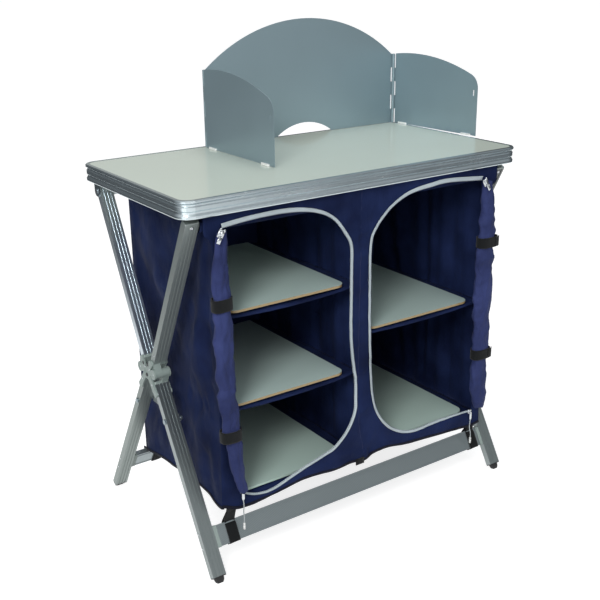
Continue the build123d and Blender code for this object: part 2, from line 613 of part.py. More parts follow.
# ================================================================ hub
def hub_plate_outline():
    """Four-armed plate seen along X, with x to the back and y up."""
    centre_z = PIN_HEIGHT - PLATE_CENTRE_DROP
    plate = Pos(0, centre_z) * Circle(PLATE_BOSS_RADIUS)
    for out in (-1, 1):
        plate += Pos(out * PIN_SPREAD, PIN_HEIGHT) * Circle(PLATE_LOBE_RADIUS)
        plate += Pos(out * PIN_SPREAD / 2, PIN_HEIGHT) * Rectangle(PIN_SPREAD, PLATE_BRIDGE)
        for up, length in ((1, PLATE_UPPER_ARM), (-1, PLATE_LOWER_ARM)):
            leg = HalfLeg(0, out, up)
            tip = leg.at(length - PLATE_ARM_WIDTH / 2)
            angle = degrees(atan2(leg.along.Z, leg.along.Y))
            start = Vector(0, out * PLATE_CENTRE_DROP, centre_z)
            run = (tip - start).length
            middle = (tip + start) * 0.5
            slope = degrees(atan2(tip.Z - start.Z, tip.Y - start.Y))
            arm = Rectangle(run, PLATE_ARM_WIDTH - 2)
            plate += Pos(middle.Y, middle.Z) * Rot(0, 0, slope) * arm
            plate += Pos(tip.Y, tip.Z) * Rot(0, 0, angle) * Circle(PLATE_ARM_WIDTH / 2)
    for out in (-1, 1):
        plate -= Pos(out * PIN_SPREAD, PIN_HEIGHT) * Circle(
            PIN_DIAMETER / 2 + PIN_SEAT_GAP
        )
    return plate


def hub_plates(side):
    """Outer and inner plate of one hub."""
    outline = hub_plate_outline()
    plates = []
    for x0, thickness in (
        (side * (LEG_OUTER_X + SIDE_GAP), PLATE_THICKNESS),
        (side * (LEG_INNER_X - SIDE_GAP), -INNER_PLATE_THICKNESS),
    ):
        plane = Plane((x0, 0, 0), x_dir=(0, 1, 0), z_dir=(1, 0, 0))
        plate = extrude(plane * outline, amount=side * thickness)
        if thickness > 0:
            groove_plane = Plane((x0 + side * thickness, 0, 0), x_dir=(0, 1, 0), z_dir=(1, 0, 0))
            pocket = Pos(0, PIN_HEIGHT - PLATE_CENTRE_DROP) * Circle(POCKET_RADIUS)
            plate -= extrude(groove_plane * pocket, amount=-side * POCKET_DEPTH)
        plates.append(plate)
    return plates


def hub_pins():
    pins = []
    for side in (-1, 1):
        for out in (-1, 1):
            outer = side * (LEG_OUTER_X + SIDE_GAP + PLATE_THICKNESS - PIN_RECESS)
            inner = side * (LEG_INNER_X - SIDE_GAP - INNER_PLATE_THICKNESS)
            pins.append(rod(inner, outer, out * PIN_SPREAD, PIN_HEIGHT, PIN_DIAMETER / 2))
    return pins


# ================================================================ cloth cabinet
def round_corners(shape, corners):
    """Fillet the corners of a sketch: corners maps (x, y) to a radius."""
    for (x, y), radius in corners.items():
        spot = [v for v in shape.vertices() if hypot(v.X - x, v.Y - y) < 0.01]
        shape = fillet(spot, radius)
    return shape


def door_outline(side, grow=0.0):
    """D-shaped door opening: large corners beside the divider, small ones beside the side panel."""
    jamb = DIVIDER_X + SIDES[side] * (DOOR_JAMB - grow)
    outer = SIDES[side] * (DOOR_OUTER_X + grow)
    sill = DOOR_SILL_Z - grow
    head = DOOR_HEAD_Z + grow
    plain = Pos((jamb + outer) / 2, (sill + head) / 2) * Rectangle(abs(outer - jamb), head - sill)
    return round_corners(plain, {
        (jamb, head): DOOR_TOP_RADIUS + grow,
        (jamb, sill): DOOR_BOTTOM_RADIUS + grow,
        (outer, head): DOOR_OUTER_RADIUS + grow,
        (outer, sill): DOOR_OUTER_RADIUS + grow,
    })


def front_panel():
    sheet = Pos(0, (HEM_Z + PANEL_TOP_Z) / 2) * Rectangle(2 * CABINET_X, PANEL_TOP_Z - HEM_Z)
    for side in SIDES:
        sheet -= door_outline(side)
    return upright(sheet, FRONT_Y, FRONT_Y + CLOTH)


def zip_tape(side):
    """Zip that follows the opening, open where the door is rolled up."""
    band = door_outline(side, TAPE_WIDTH / 2) - door_outline(side, -TAPE_WIDTH / 2)
    y1 = FRONT_Y - TAPE_GAP
    tape = upright(band, y1 - TAPE_THICKNESS, y1)
    edge = SIDES[side] * (DOOR_OUTER_X - TAPE_WIDTH)
    far = SIDES[side] * 2 * CABINET_X
    return tape - block(min(edge, far), max(edge, far), y1 - 10, y1 + 10, 0, TOP_HEIGHT)


def side_panel(side):
    x0, x1 = sorted((SIDES[side] * CABINET_X, SIDES[side] * (CABINET_X - CLOTH)))
    return block(x0, x1, FRONT_Y + CLOTH, REAR_Y - CLOTH, HEM_Z, SIDE_TOP_Z)


def back_panel():
    return block(-CABINET_X, CABINET_X, REAR_Y - CLOTH, REAR_Y, HEM_Z, PANEL_TOP_Z)


def centre_divider():
    return block(DIVIDER_X - CLOTH / 2, DIVIDER_X + CLOTH / 2, FRONT_Y + CLOTH, REAR_Y - CLOTH,
                 FLOOR_Z, SIDE_TOP_Z)


def floor_panel():
    return block(-CABINET_X + CLOTH, CABINET_X - CLOTH, FRONT_Y + CLOTH, REAR_Y - CLOTH,
                 FLOOR_Z - CLOTH, FLOOR_Z)


def bay(side):
    """Inner faces of one half of the cabinet, lowest X first."""
    wall = SIDES[side] * (CABINET_X - CLOTH)
    middle = DIVIDER_X + SIDES[side] * CLOTH / 2
    return sorted((wall, middle))


def shelf_span(side):
    wall = SIDES[side] * (CABINET_X - SHELF_SIDE_CLEARANCE)
    middle = DIVIDER_X + SIDES[side] * SHELF_INNER_CLEARANCE
    return sorted((wall, middle))


def shelf_board(side, top):
    """Board with rounded corners; its front edge faces the door."""
    x0, x1 = shelf_span(side)
    y0 = FRONT_Y + SHELF_FRONT_CLEARANCE
    y1 = REAR_Y - SHELF_REAR_CLEARANCE
    outline = Pos((x0 + x1) / 2, (y0 + y1) / 2) * Rectangle(x1 - x0, y1 - y0)
    outline = round_corners(outline, {
        (x0, y0): SHELF_FRONT_RADIUS, (x1, y0): SHELF_FRONT_RADIUS,
        (x0, y1): SHELF_REAR_RADIUS, (x1, y1): SHELF_REAR_RADIUS,
    })
    return extrude(Plane.XY.offset(top - SHELF_THICKNESS) * outline, amount=SHELF_THICKNESS)


def sling(side, top):
    """Cloth sling under one upper shelf, with a lip that hangs at the front."""
    x0, x1 = bay(side)
    z1 = top - SHELF_THICKNESS - SLING_GAP
    y0 = FRONT_Y + SHELF_FRONT_CLEARANCE + SLING_SETBACK
    y1 = REAR_Y - CLOTH
    return block(x0, x1, y0, y1, z1 - CLOTH, z1) + block(x0, x1, y0, y0 + CLOTH, z1 - SLING_LIP, z1)


# ================================================================ door rolls and straps
def roll_centre(side):
    x = SIDES[side] * (CABINET_X + ROLL_OUTSET - ROLL_WIDTH / 2)
    y = FRONT_Y - TAPE_GAP - TAPE_THICKNESS - ROLL_GAP - ROLL_THICKNESS / 2
    return x, y


def door_roll(side):
    """Door cloth rolled up beside its opening, thinner at both ends."""
    x, y = roll_centre(side)
    low, high = ROLL_BOTTOM_Z + ROLL_TAPER, ROLL_TOP_Z - ROLL_TAPER
    full = Pos(x, y) * Ellipse(ROLL_WIDTH / 2, ROLL_THICKNESS / 2)
    thin = Pos(x, y) * Ellipse(ROLL_WIDTH / 2 * ROLL_THIN_SHARE, ROLL_THICKNESS / 2 * ROLL_THIN_SHARE)
    foot = loft([Plane.XY.offset(ROLL_BOTTOM_Z) * thin, Plane.XY.offset(low) * full])
    middle = extrude(Plane.XY.offset(low) * full, amount=high - low)
    head = loft([Plane.XY.offset(high) * full, Plane.XY.offset(ROLL_TOP_Z) * thin])
    return foot + middle + head


def roll_straps():
    """Bands round the door rolls, sewn to the front panel."""
    bands = []
    for side in SIDES:
        x, y = roll_centre(side)
        wide, thick = ROLL_WIDTH + 2 * STRAP_GAP, ROLL_THICKNESS + 2 * STRAP_GAP
        extra = 2 * ROLL_STRAP_THICKNESS
        inner = RectangleRounded(wide, thick, thick / 2 - 0.01)
        outer = RectangleRounded(wide + extra, thick + extra, (thick + extra) / 2 - 0.01)
        ring = Pos(x, y) * (outer - inner)
        back = FRONT_Y - TAPE_GAP - TAPE_THICKNESS - STRAP_SEAT
        ring -= Pos(x, back + ROLL_WIDTH) * Rectangle(2 * ROLL_WIDTH, 2 * ROLL_WIDTH)
        for z in ROLL_STRAP_ZS:
            bands.append(extrude(Plane.XY.offset(z - ROLL_STRAP_HEIGHT / 2) * ring,
                                 amount=ROLL_STRAP_HEIGHT))
    return bands


def lower_straps(out, places):
    """Webbing loops round a lower bar, each with a stem that runs up to the cabinet's hem."""
    leg = HalfLeg(0, out, -1)
    z = LOWER_BAR_FRONT_Z if out < 0 else LOWER_BAR_REAR_Z
    centre = leg.at(leg.at_height(z))
    hole_h = LOWER_BAR_HEIGHT + 2 * WEBBING_GAP
    hole_t = LOWER_BAR_THICKNESS + 2 * WEBBING_GAP
    loop = RectangleRounded(hole_h + 2 * WEBBING_THICKNESS, hole_t + 2 * WEBBING_THICKNESS,
                            WEBBING_CORNER)
    loop -= Rectangle(hole_h, hole_t)
    straps = []
    for x in places:
        plane = Plane((x - WEBBING_WIDTH / 2, centre.Y, centre.Z), x_dir=leg.along, z_dir=(1, 0, 0))
        ring = extrude(plane * loop, amount=WEBBING_WIDTH)
        # The stem leaves the edge of the loop that is nearer to the hem.
        foot = (centre - leg.along * (hole_h / 2 + WEBBING_THICKNESS / 2)
                + leg.to_pin * (hole_t / 2))
        hem_y = FRONT_Y + CLOTH / 2 if out < 0 else REAR_Y - CLOTH / 2
        hem = Vector(0, hem_y, HEM_Z - WEBBING_STEM_GAP)
        run = (hem - foot).normalized()
        across = Vector(0, run.Z, -run.Y) * (WEBBING_THICKNESS / 2)
        corners = (foot - across, foot + across, hem + across, hem - across)
        stem_outline = Polyline(*[(c.Y, c.Z) for c in corners], close=True)
        stem_plane = Plane((x - WEBBING_WIDTH / 2, 0, 0), x_dir=(0, 1, 0), z_dir=(1, 0, 0))
        straps.append(ring + extrude(stem_plane * make_face(stem_outline), amount=WEBBING_WIDTH))
    return straps


# ================================================================ zip sliders, pulls and cords
SLIDER_Y = FRONT_Y - TAPE_GAP - TAPE_THICKNESS - SLIDER_GAP
PULL_Y = SLIDER_Y - SLIDER_SIZE[1] - TAB_GAP - TAB_SIZE[1] / 2


def zip_sliders():
    sliders = []
    for side in SIDES:
        w, d, h = SLIDER_SIZE
        x, z = LOW_SLIDER_XS[side], LOW_SLIDER_ZS[side]
        body = Pos(x, z) * RectangleRounded(w, h, SLIDER_CORNER)
        sliders.append(upright(body, SLIDER_Y - d, SLIDER_Y))
        roll_x, roll_y = roll_centre(side)
        face = roll_y - ROLL_THICKNESS / 2 - ROLL_GAP
        body = Pos(roll_x, HIGH_SLIDER_Z) * RectangleRounded(w, h, SLIDER_CORNER)
        sliders.append(upright(body, face - d, face))
    return sliders


def zip_pull(side):
    """Flat tab with an eye: the round bar along its upper edge turns in the slider's loop."""
    x, z = LOW_SLIDER_XS[side], LOW_SLIDER_ZS[side]
    w, t, h = TAB_SIZE
    tab = Pos(x, z - t / 2 - (h - t / 2) / 2) * RectangleRounded(w, h - t / 2, TAB_CORNER)
    tab -= Pos(x, z - TAB_EYE_DROP) * Circle(TAB_EYE_RADIUS)
    bar = rod(x - w / 2, x + w / 2, PULL_Y, z - t / 2, t / 2)
    return upright(tab, PULL_Y - t / 2, PULL_Y + t / 2) + bar


def cord_route(side):
    """Points of the cord from the eye of its tab down to its tip; it hangs free with a slight bow."""
    x, z = LOW_SLIDER_XS[side], LOW_SLIDER_ZS[side] - TAB_SIZE[2]
    y = PULL_Y
    bows = {
        "left": ((0, 0, 0), (0.9, -1.2, -14), (-1.1, -0.6, -28), (0.6, -1.3, -42), (0.0, -0.4, -55)),
        "right": ((0, 0, 0), (-3.0, -1.2, -11), (-3.6, -2.0, -23), (2.6, -1.4, -37), (2.2, -0.6, -49)),
    }
    return [(x + dx, y + dy, z + dz) for dx, dy, dz in bows[side]]


def cord_path(points):
    vectors = [Vector(*p) for p in points]
    radii = []
    for a, b, c in zip(vectors, vectors[1:], vectors[2:]):
        turn = radians((b - a).get_angle(c - b))
        radii.append(0.45 * min((b - a).length, (c - b).length) / tan(turn / 2))
    return FilletPolyline(*points, radius=radii), radii


def zip_cord(side):
    points = cord_route(side)
    path, radii = cord_path(points)
    tube = sweep((path ^ 0) * Circle(CORD_DIAMETER / 2), path=path)
    length = path.length
    ratio = tube.volume / (length * pi * CORD_DIAMETER ** 2 / 4)
    bends = [round(r) for r in radii]
    print(f"zip_cord_{side}: length {length:.1f} radii {bends} volume ratio {ratio:.4f}")
    return tube


def cord_tip(side):
    """Moulded grip on the end of the cord."""
    x, y, z = cord_route(side)[-1]
    grip = Pos(x, y, z - TIP_LENGTH / 2) * Cylinder(TIP_RADIUS, TIP_LENGTH)
    return fillet(grip.edges(), TIP_ROUND)


# ================================================================ windscreen
def hinge_segments(parity):
    """Lower and upper ends of the hinge knuckles of one leaf."""
    pitch = SCREEN_SIDE_HEIGHT / HINGE_KNUCKLES
    base = TOP_HEIGHT + SCREEN_LIFT
    return [
        (base + i * pitch + KNUCKLE_GAP / 2, base + (i + 1) * pitch - KNUCKLE_GAP / 2)
        for i in range(HINGE_KNUCKLES) if i % 2 == parity
    ]


def hinge_barrels(x, parity, tangent):
    """Rolled knuckles round the rod at x; tangent is the place of the sheet's tab beside them."""
    barrels = None
    for z0, z1 in hinge_segments(parity):
        ring = Circle(HINGE_RADIUS) - Circle(HINGE_ROD_RADIUS + RUNNING_GAP)
        piece = extrude(Plane((x, HINGE_Y, z0)) * ring, amount=z1 - z0)
        x0, x1, y0, y1 = tangent
        tab = block(x + x0, x + x1, HINGE_Y + y0, HINGE_Y + y1, z0, z1)
        piece += tab - Pos(x, HINGE_Y, (z0 + z1) / 2) * Cylinder(HINGE_RADIUS - SHEET, z1 - z0)
        barrels = piece if barrels is None else barrels + piece
    return barrels


def screen_outline():
    """Centre sheet: straight sides, an arch on top and a half-moon cut out of its lower edge."""
    left = SCREEN_LEFT_X + HINGE_NOTCH
    right = SCREEN_RIGHT_X - HINGE_NOTCH
    middle = (SCREEN_LEFT_X + SCREEN_RIGHT_X) / 2
    base = TOP_HEIGHT + SCREEN_LIFT
    shoulder = base + SCREEN_SIDE_HEIGHT
    outline = Polyline((left, shoulder), (left, base), (middle - CUTOUT_HALF_WIDTH, base))
    outline += ThreePointArc((middle - CUTOUT_HALF_WIDTH, base), (middle, base + CUTOUT_HEIGHT),
                             (middle + CUTOUT_HALF_WIDTH, base))
    outline += Polyline((middle + CUTOUT_HALF_WIDTH, base), (right, base), (right, shoulder))
    outline += ThreePointArc((right, shoulder), (middle, shoulder + SCREEN_RISE), (left, shoulder))
    return make_face(outline)


def windscreen_panel():
    y0 = HINGE_Y + SHEET_OFFSET - SHEET / 2
    panel = upright(screen_outline(), y0, y0 + SHEET)
    for x, inward in ((SCREEN_LEFT_X, 1), (SCREEN_RIGHT_X, -1)):
        x0, x1 = sorted((0, inward * HINGE_NOTCH))
        panel += hinge_barrels(x, 0, (x0, x1, SHEET_OFFSET - SHEET / 2, SHEET_OFFSET + SHEET / 2))
    return panel


def wing_outline(side):
    """One wing seen from its outer face: x from the hinge to the front edge, y up from the board."""
    length = WING_LENGTHS[side]
    crest = SCREEN_SIDE_HEIGHT + WING_CREST_RADIUS - sqrt(WING_CREST_RADIUS ** 2 - WING_CREST_U ** 2)
    centre = crest - WING_CREST_RADIUS

    def top_at(u):
        return centre + sqrt(WING_CREST_RADIUS ** 2 - (u - WING_CREST_U) ** 2)

    # The nose arc touches both the top arc and the upright front edge.
    nose_u = length - WING_NOSE_RADIUS
    reach = WING_CREST_RADIUS - WING_NOSE_RADIUS
    nose_v = centre + sqrt(reach ** 2 - (nose_u - WING_CREST_U) ** 2)
    lean = atan2(nose_u - WING_CREST_U, nose_v - centre)
    touch = (nose_u + WING_NOSE_RADIUS * sin(lean), nose_v + WING_NOSE_RADIUS * cos(lean))
    half = (lean + radians(90)) / 2
    shoulder = (nose_u + WING_NOSE_RADIUS * sin(half), nose_v + WING_NOSE_RADIUS * cos(half))
    start = HINGE_NOTCH
    outline = Polyline((start, top_at(start)), (start, 0), (length, 0), (length, nose_v))
    outline += ThreePointArc((length, nose_v), shoulder, touch)
    middle = (start + touch[0]) / 2
    outline += ThreePointArc(touch, (middle, top_at(middle)), (start, top_at(start)))
    slot = Pos(length - CATCH_U, CATCH_Z) * SlotOverall(CATCH_HEIGHT, CATCH_WIDTH, rotation=90)
    return make_face(outline) - slot


def wing(side):
    """Wing sheet with its two knuckles, turned about its hinge to its open angle."""
    axis_x = SCREEN_LEFT_X if side == "left" else SCREEN_RIGHT_X
    s = SIDES[side]
    base = TOP_HEIGHT + SCREEN_LIFT
    x_near = axis_x + s * (SHEET_OFFSET - SHEET / 2)
    plane = Plane((x_near, HINGE_Y, base), x_dir=(0, -1, 0), z_dir=(-1, 0, 0))
    sheet = extrude(plane * wing_outline(side), amount=-s * SHEET)
    x0, x1 = sorted((s * (SHEET_OFFSET - SHEET / 2), s * (SHEET_OFFSET + SHEET / 2)))
    sheet += hinge_barrels(axis_x, 1, (x0, x1, -HINGE_NOTCH, 0))
    return turned(sheet, side)


def turned(shape, side):
    axis_x = SCREEN_LEFT_X if side == "left" else SCREEN_RIGHT_X
    hinge = Axis((axis_x, HINGE_Y, 0), (0, 0, 1))
    return shape.rotate(hinge, SIDES[side] * WING_OPEN[side])


def wing_feet(side):
    """Moulded feet clipped to the lower edge of one wing."""
    axis_x = SCREEN_LEFT_X if side == "left" else SCREEN_RIGHT_X
    s = SIDES[side]
    along, across, tall = SCREEN_FOOT
    sheet = SHEET / 2
    middle = axis_x + s * SHEET_OFFSET
    foot_x = middle + s * SCREEN_FOOT_OUT
    feet = None
    for u in FOOT_POSITIONS:
        y = HINGE_Y - u
        foot = block(foot_x - across / 2, foot_x + across / 2, y - along / 2, y + along / 2,
                     TOP_HEIGHT + FOOT_GAP, TOP_HEIGHT + tall)
        foot = fillet(foot.edges().filter_by(Axis.Z), SCREEN_FOOT_CORNER)
        foot -= block(middle - sheet, middle + sheet, y - along, y + along,
                      TOP_HEIGHT + SCREEN_LIFT, TOP_HEIGHT + tall + 1)
        feet = foot if feet is None else feet + foot
    return turned(feet, side)


def hinge_rods():
    rods = []
    for x in (SCREEN_LEFT_X, SCREEN_RIGHT_X):
        z0 = TOP_HEIGHT + SCREEN_LIFT
        height = SCREEN_SIDE_HEIGHT
        rods.append(Pos(x, HINGE_Y, z0 + height / 2) * Cylinder(HINGE_ROD_RADIUS, height))
    return rods


def make_model():
    os.makedirs("parts", exist_ok=True)
    save("table_board", table_board())
    save("edge_profile", edge_profile())
    save("rear_pivot_brackets", *rear_brackets())
    save("rear_pivot_pins", *rear_pivot_pins())
    save("front_rests", *front_rests())

    for level, up in (("upper", 1), ("lower", -1)):
        for end, out in (("front", -1), ("rear", 1)):
            legs = [HalfLeg(s * LEG_X, out, up) for s in SIDES.values()]
            for side, leg in zip(SIDES, legs):
                save(f"{level}_{end}_leg_{side}", leg_tube(leg))
            save(f"{level}_{end}_knuckles", *[knuckle(leg) for leg in legs])
            if up > 0:
                save(f"upper_{end}_end_caps", *[end_cap(leg) for leg in legs])
                save(f"upper_{end}_bar", upper_bar(out))
            else:
                bar, ends = lower_bar_parts(out)
                save(f"lower_{end}_bar", bar)
                save(f"lower_{end}_bar_ends", *ends)
                save(f"{end}_feet", *[boot(leg) for leg in legs])
                save(f"{end}_stay_bolts", *stay_bolts(out))
    save("stays", *[stay(s) for s in SIDES.values()])
    save("hub_plates", *[plate for s in SIDES.values() for plate in hub_plates(s)])
    save("hub_pins", *hub_pins())

    save("front_panel", front_panel())
    save("back_panel", back_panel())
    save("upright_panels", side_panel("left"), centre_divider(), side_panel("right"))
    save("floor_panel", floor_panel())
    for side in SIDES:
        save(f"zip_pull_{side}", zip_pull(side))
        save(f"zip_cord_{side}", zip_cord(side))
        save(f"cord_tip_{side}", cord_tip(side))
        bottom = FLOOR_Z + BOTTOM_LIFT + SHELF_THICKNESS
        save(f"shelf_{side}_bottom", shelf_board(side, bottom))
    for name, top in SHELF_TOPS.items():
        save(f"shelf_{name}", shelf_board(name.split("_")[0], top))
    save("shelf_slings", *[sling(name.split("_")[0], top) for name, top in SHELF_TOPS.items()])
    save("zip_tapes", *[zip_tape(side) for side in SIDES])
    save("door_rolls", *[door_roll(side) for side in SIDES])
    save("roll_straps", *roll_straps())
    save("zip_sliders", *zip_sliders())
    save("front_lower_straps", *lower_straps(-1, FRONT_STRAP_XS))
    save("rear_lower_straps", *lower_straps(1, REAR_STRAP_XS))

    save("windscreen_panel", windscreen_panel())
    save("windscreen_hinge_rods", *hinge_rods())
    for side in SIDES:
        save(f"windscreen_wing_{side}", wing(side))
        save(f"wing_feet_{side}", wing_feet(side))


make_model()
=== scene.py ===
"""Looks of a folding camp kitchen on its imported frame.
"""
import json
import math

import bpy
import numpy as np
from mathutils import Matrix, Vector, noise
from mathutils.geometry import delaunay_2d_cdt

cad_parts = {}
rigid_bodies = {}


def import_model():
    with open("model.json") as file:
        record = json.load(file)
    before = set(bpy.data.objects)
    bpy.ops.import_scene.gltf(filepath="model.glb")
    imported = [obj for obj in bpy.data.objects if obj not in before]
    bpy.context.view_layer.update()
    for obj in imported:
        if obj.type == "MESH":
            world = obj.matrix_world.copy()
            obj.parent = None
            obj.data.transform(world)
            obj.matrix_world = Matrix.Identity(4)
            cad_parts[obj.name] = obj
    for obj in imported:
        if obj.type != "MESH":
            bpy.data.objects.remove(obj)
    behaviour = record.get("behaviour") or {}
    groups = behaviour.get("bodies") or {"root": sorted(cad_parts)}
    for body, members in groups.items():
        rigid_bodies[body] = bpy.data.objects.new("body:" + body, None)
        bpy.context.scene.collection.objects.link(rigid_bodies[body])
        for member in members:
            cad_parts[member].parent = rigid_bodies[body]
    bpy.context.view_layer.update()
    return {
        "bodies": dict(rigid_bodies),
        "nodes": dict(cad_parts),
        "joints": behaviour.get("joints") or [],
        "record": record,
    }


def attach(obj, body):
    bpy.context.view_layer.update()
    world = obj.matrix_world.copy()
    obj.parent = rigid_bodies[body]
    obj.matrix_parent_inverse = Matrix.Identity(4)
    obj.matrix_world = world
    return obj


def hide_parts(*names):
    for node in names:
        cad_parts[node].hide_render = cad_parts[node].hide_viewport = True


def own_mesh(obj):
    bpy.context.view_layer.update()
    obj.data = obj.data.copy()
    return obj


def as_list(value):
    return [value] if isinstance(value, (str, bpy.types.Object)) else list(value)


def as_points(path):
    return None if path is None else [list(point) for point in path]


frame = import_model()
NODES = frame["nodes"]
MM = 0.001


# -------- camera

def look_matrix(yaw, pitch, roll, place):
    fwd = Vector((math.sin(yaw) * math.cos(pitch), math.cos(yaw) * math.cos(pitch), -math.sin(pitch)))
    right = Vector((math.cos(yaw), -math.sin(yaw), 0))
    up = right.cross(fwd)
    r = math.cos(roll) * right + math.sin(roll) * up
    u = -math.sin(roll) * right + math.cos(roll) * up
    m = Matrix((r, u, -fwd)).transposed().to_4x4()
    m.translation = place
    return m


# Fitted to the photograph: the lens in mm, the angles in radians and the place in metres.
LENS, YAW, PITCH, ROLL = 57.837, 0.607, 0.3451, -0.0115
VIEWPOINT = (-1.20706, -1.70820, 1.21231)

camera_data = bpy.data.cameras.new("photo_camera")
camera_data.sensor_width = 36
camera_data.lens = LENS
camera_data.clip_end = 60
camera = bpy.data.objects.new("photo_camera", camera_data)
camera.matrix_world = look_matrix(YAW, PITCH, ROLL, VIEWPOINT)
bpy.context.scene.collection.objects.link(camera)
bpy.context.scene.camera = camera
bpy.context.scene.view_settings.view_transform = "Standard"


# -------- node helpers

def new_material(name):
    m = bpy.data.materials.new(name)
    m.use_nodes = True
    return m, m.node_tree, m.node_tree.nodes["Principled BSDF"]


def node(tree, kind, links=None, **settings):
    n = tree.nodes.new(kind)
    for key, value in settings.items():
        setattr(n, key, value)
    for key, value in (links or {}).items():
        if isinstance(value, bpy.types.NodeSocket):
            tree.links.new(value, n.inputs[key])
        else:
            n.inputs[key].default_value = value
    return n


def calc(tree, operation, *values):
    """The output of a Math node."""
    return node(tree, "ShaderNodeMath", dict(enumerate(values)), operation=operation).outputs[0]


def put(shader, **values):
    """Plain values on the shader's own sockets, whose names have a space for each underscore."""
    for key, value in values.items():
        shader.inputs[key.replace("_", " ")].default_value = value


def axes(tree, vector):
    return node(tree, "ShaderNodeSeparateXYZ", {0: vector}).outputs


def coords(tree, scale=(1, 1, 1), turn=(0, 0, 0)):
    """Object coordinates in metres, turned and then scaled."""
    c = node(tree, "ShaderNodeTexCoord").outputs["Object"]
    if any(turn):
        c = node(tree, "ShaderNodeMapping", {"Vector": c, "Rotation": turn}).outputs[0]
    return node(tree, "ShaderNodeMapping", {"Vector": c, "Scale": scale}).outputs[0]


def ramp(tree, fac, stops):
    n = node(tree, "ShaderNodeValToRGB", {"Fac": fac})
    while len(n.color_ramp.elements) < len(stops):
        n.color_ramp.elements.new(0.5)
    for e, (pos, value) in zip(n.color_ramp.elements, stops):
        e.position = pos
        e.color = (*value, 1) if hasattr(value, "__len__") else (value, value, value, 1)
    return n.outputs["Color"]


def grain(tree, vector, scale, detail=3.0, rough=0.55):
    return node(tree, "ShaderNodeTexNoise", {"Vector": vector, "Scale": scale, "Detail": detail,
                                             "Roughness": rough}).outputs["Fac"]


def bump(tree, shader, height, strength, distance, under=None):
    """Relief on the shader, over the relief of under: another (height, strength, distance)."""
    links = {"Height": height, "Strength": strength, "Distance": distance}
    if under:
        links["Normal"] = node(tree, "ShaderNodeBump", dict(zip(links, under))).outputs[0]
    tree.links.new(node(tree, "ShaderNodeBump", links).outputs[0], shader.inputs["Normal"])


def shades(tree, fac, base, low, high, start=0.3, end=0.7):
    """A colour from low to high times base, as fac goes from start to end."""
    return ramp(tree, fac, [(start, [c * low for c in base]), (end, [min(1, c * high) for c in base])])


def tones(tree, shader, *args):
    tree.links.new(shades(tree, *args), shader.inputs["Base Color"])


def roughness(tree, shader, fac, low, high, start=0.3, end=0.7):
    tree.links.new(ramp(tree, fac, [(start, low), (end, high)]), shader.inputs["Roughness"])


def drawn_metal(name, base, rough, across, turn=(0, 0, 0), metal=1.0, lines=0.02, hatch=None):
    """Aluminium with die lines along one axis. across is large on the axes that the lines don't follow.

    hatch is the pitch in mm, along x, of fine slanted lines pressed into the face.
    """
    m, t, s = new_material(name)
    fine = grain(t, coords(t, across, turn), 1.0, 4.0, 0.6)
    broad = grain(t, coords(t), 9.0, 3.0)
    if hatch:
        xyz = axes(t, node(t, "ShaderNodeTexCoord").outputs["Object"])
        slant = calc(t, "MULTIPLY", calc(t, "ADD", xyz[0], xyz[2]), 2 * math.pi / (hatch * MM))
        wave = calc(t, "SINE", slant)
        tones(t, s, wave, base, 0.93, 1.10, 0.0, 1.0)
        fine = calc(t, "MULTIPLY_ADD", wave, 0.5, fine)
    else:
        tones(t, s, fine, base, 0.96, 1.02)
    roughness(t, s, calc(t, "MULTIPLY", fine, broad), rough - 0.03, rough + 0.05, 0.1, 0.5)
    put(s, Metallic=metal)
    bump(t, s, fine, lines, 0.0002)
    return m


def moulded(name, base, rough, pits=900.0, strength=0.06, coat=0.0):
    m, t, s = new_material(name)
    c = coords(t)
    tones(t, s, grain(t, c, 22.0, 3.0), base, 0.92, 1.05)
    fine = grain(t, c, pits, 2.0)
    roughness(t, s, fine, rough - 0.06, rough + 0.08)
    put(s, Coat_Weight=coat)
    bump(t, s, fine, strength, 0.0005)
    return m


def laminate(name, base, rough, edge=None):
    """A grey-green laminate face. edge is the colour of bare fibreboard on faces that don't look up or down."""
    m, t, s = new_material(name)
    c = coords(t)
    cloud = grain(t, c, 3.5, 2.0)
    speck = grain(t, c, 700.0, 2.0)
    mixed = calc(t, "MULTIPLY_ADD", cloud, speck, calc(t, "MULTIPLY", speck, 0.25))
    face = shades(t, mixed, base, 0.96, 1.03)
    if edge:
        fibre = shades(t, grain(t, coords(t, (1, 1, 9)), 260.0, 4.0), edge, 0.7, 1)
        up = axes(t, node(t, "ShaderNodeTexCoord").outputs["Normal"])[2]
        flat = calc(t, "GREATER_THAN", calc(t, "ABSOLUTE", up), 0.7)
        face = node(t, "ShaderNodeMix", {"Factor": flat, 6: fibre, 7: face}, data_type="RGBA").outputs[2]
    t.links.new(face, s.inputs["Base Color"])
    roughness(t, s, speck, rough - 0.03, rough + 0.04)
    put(s, Coat_Weight=0.25, Coat_Roughness=0.12)
    bump(t, s, speck, 0.03, 0.0003)
    return m


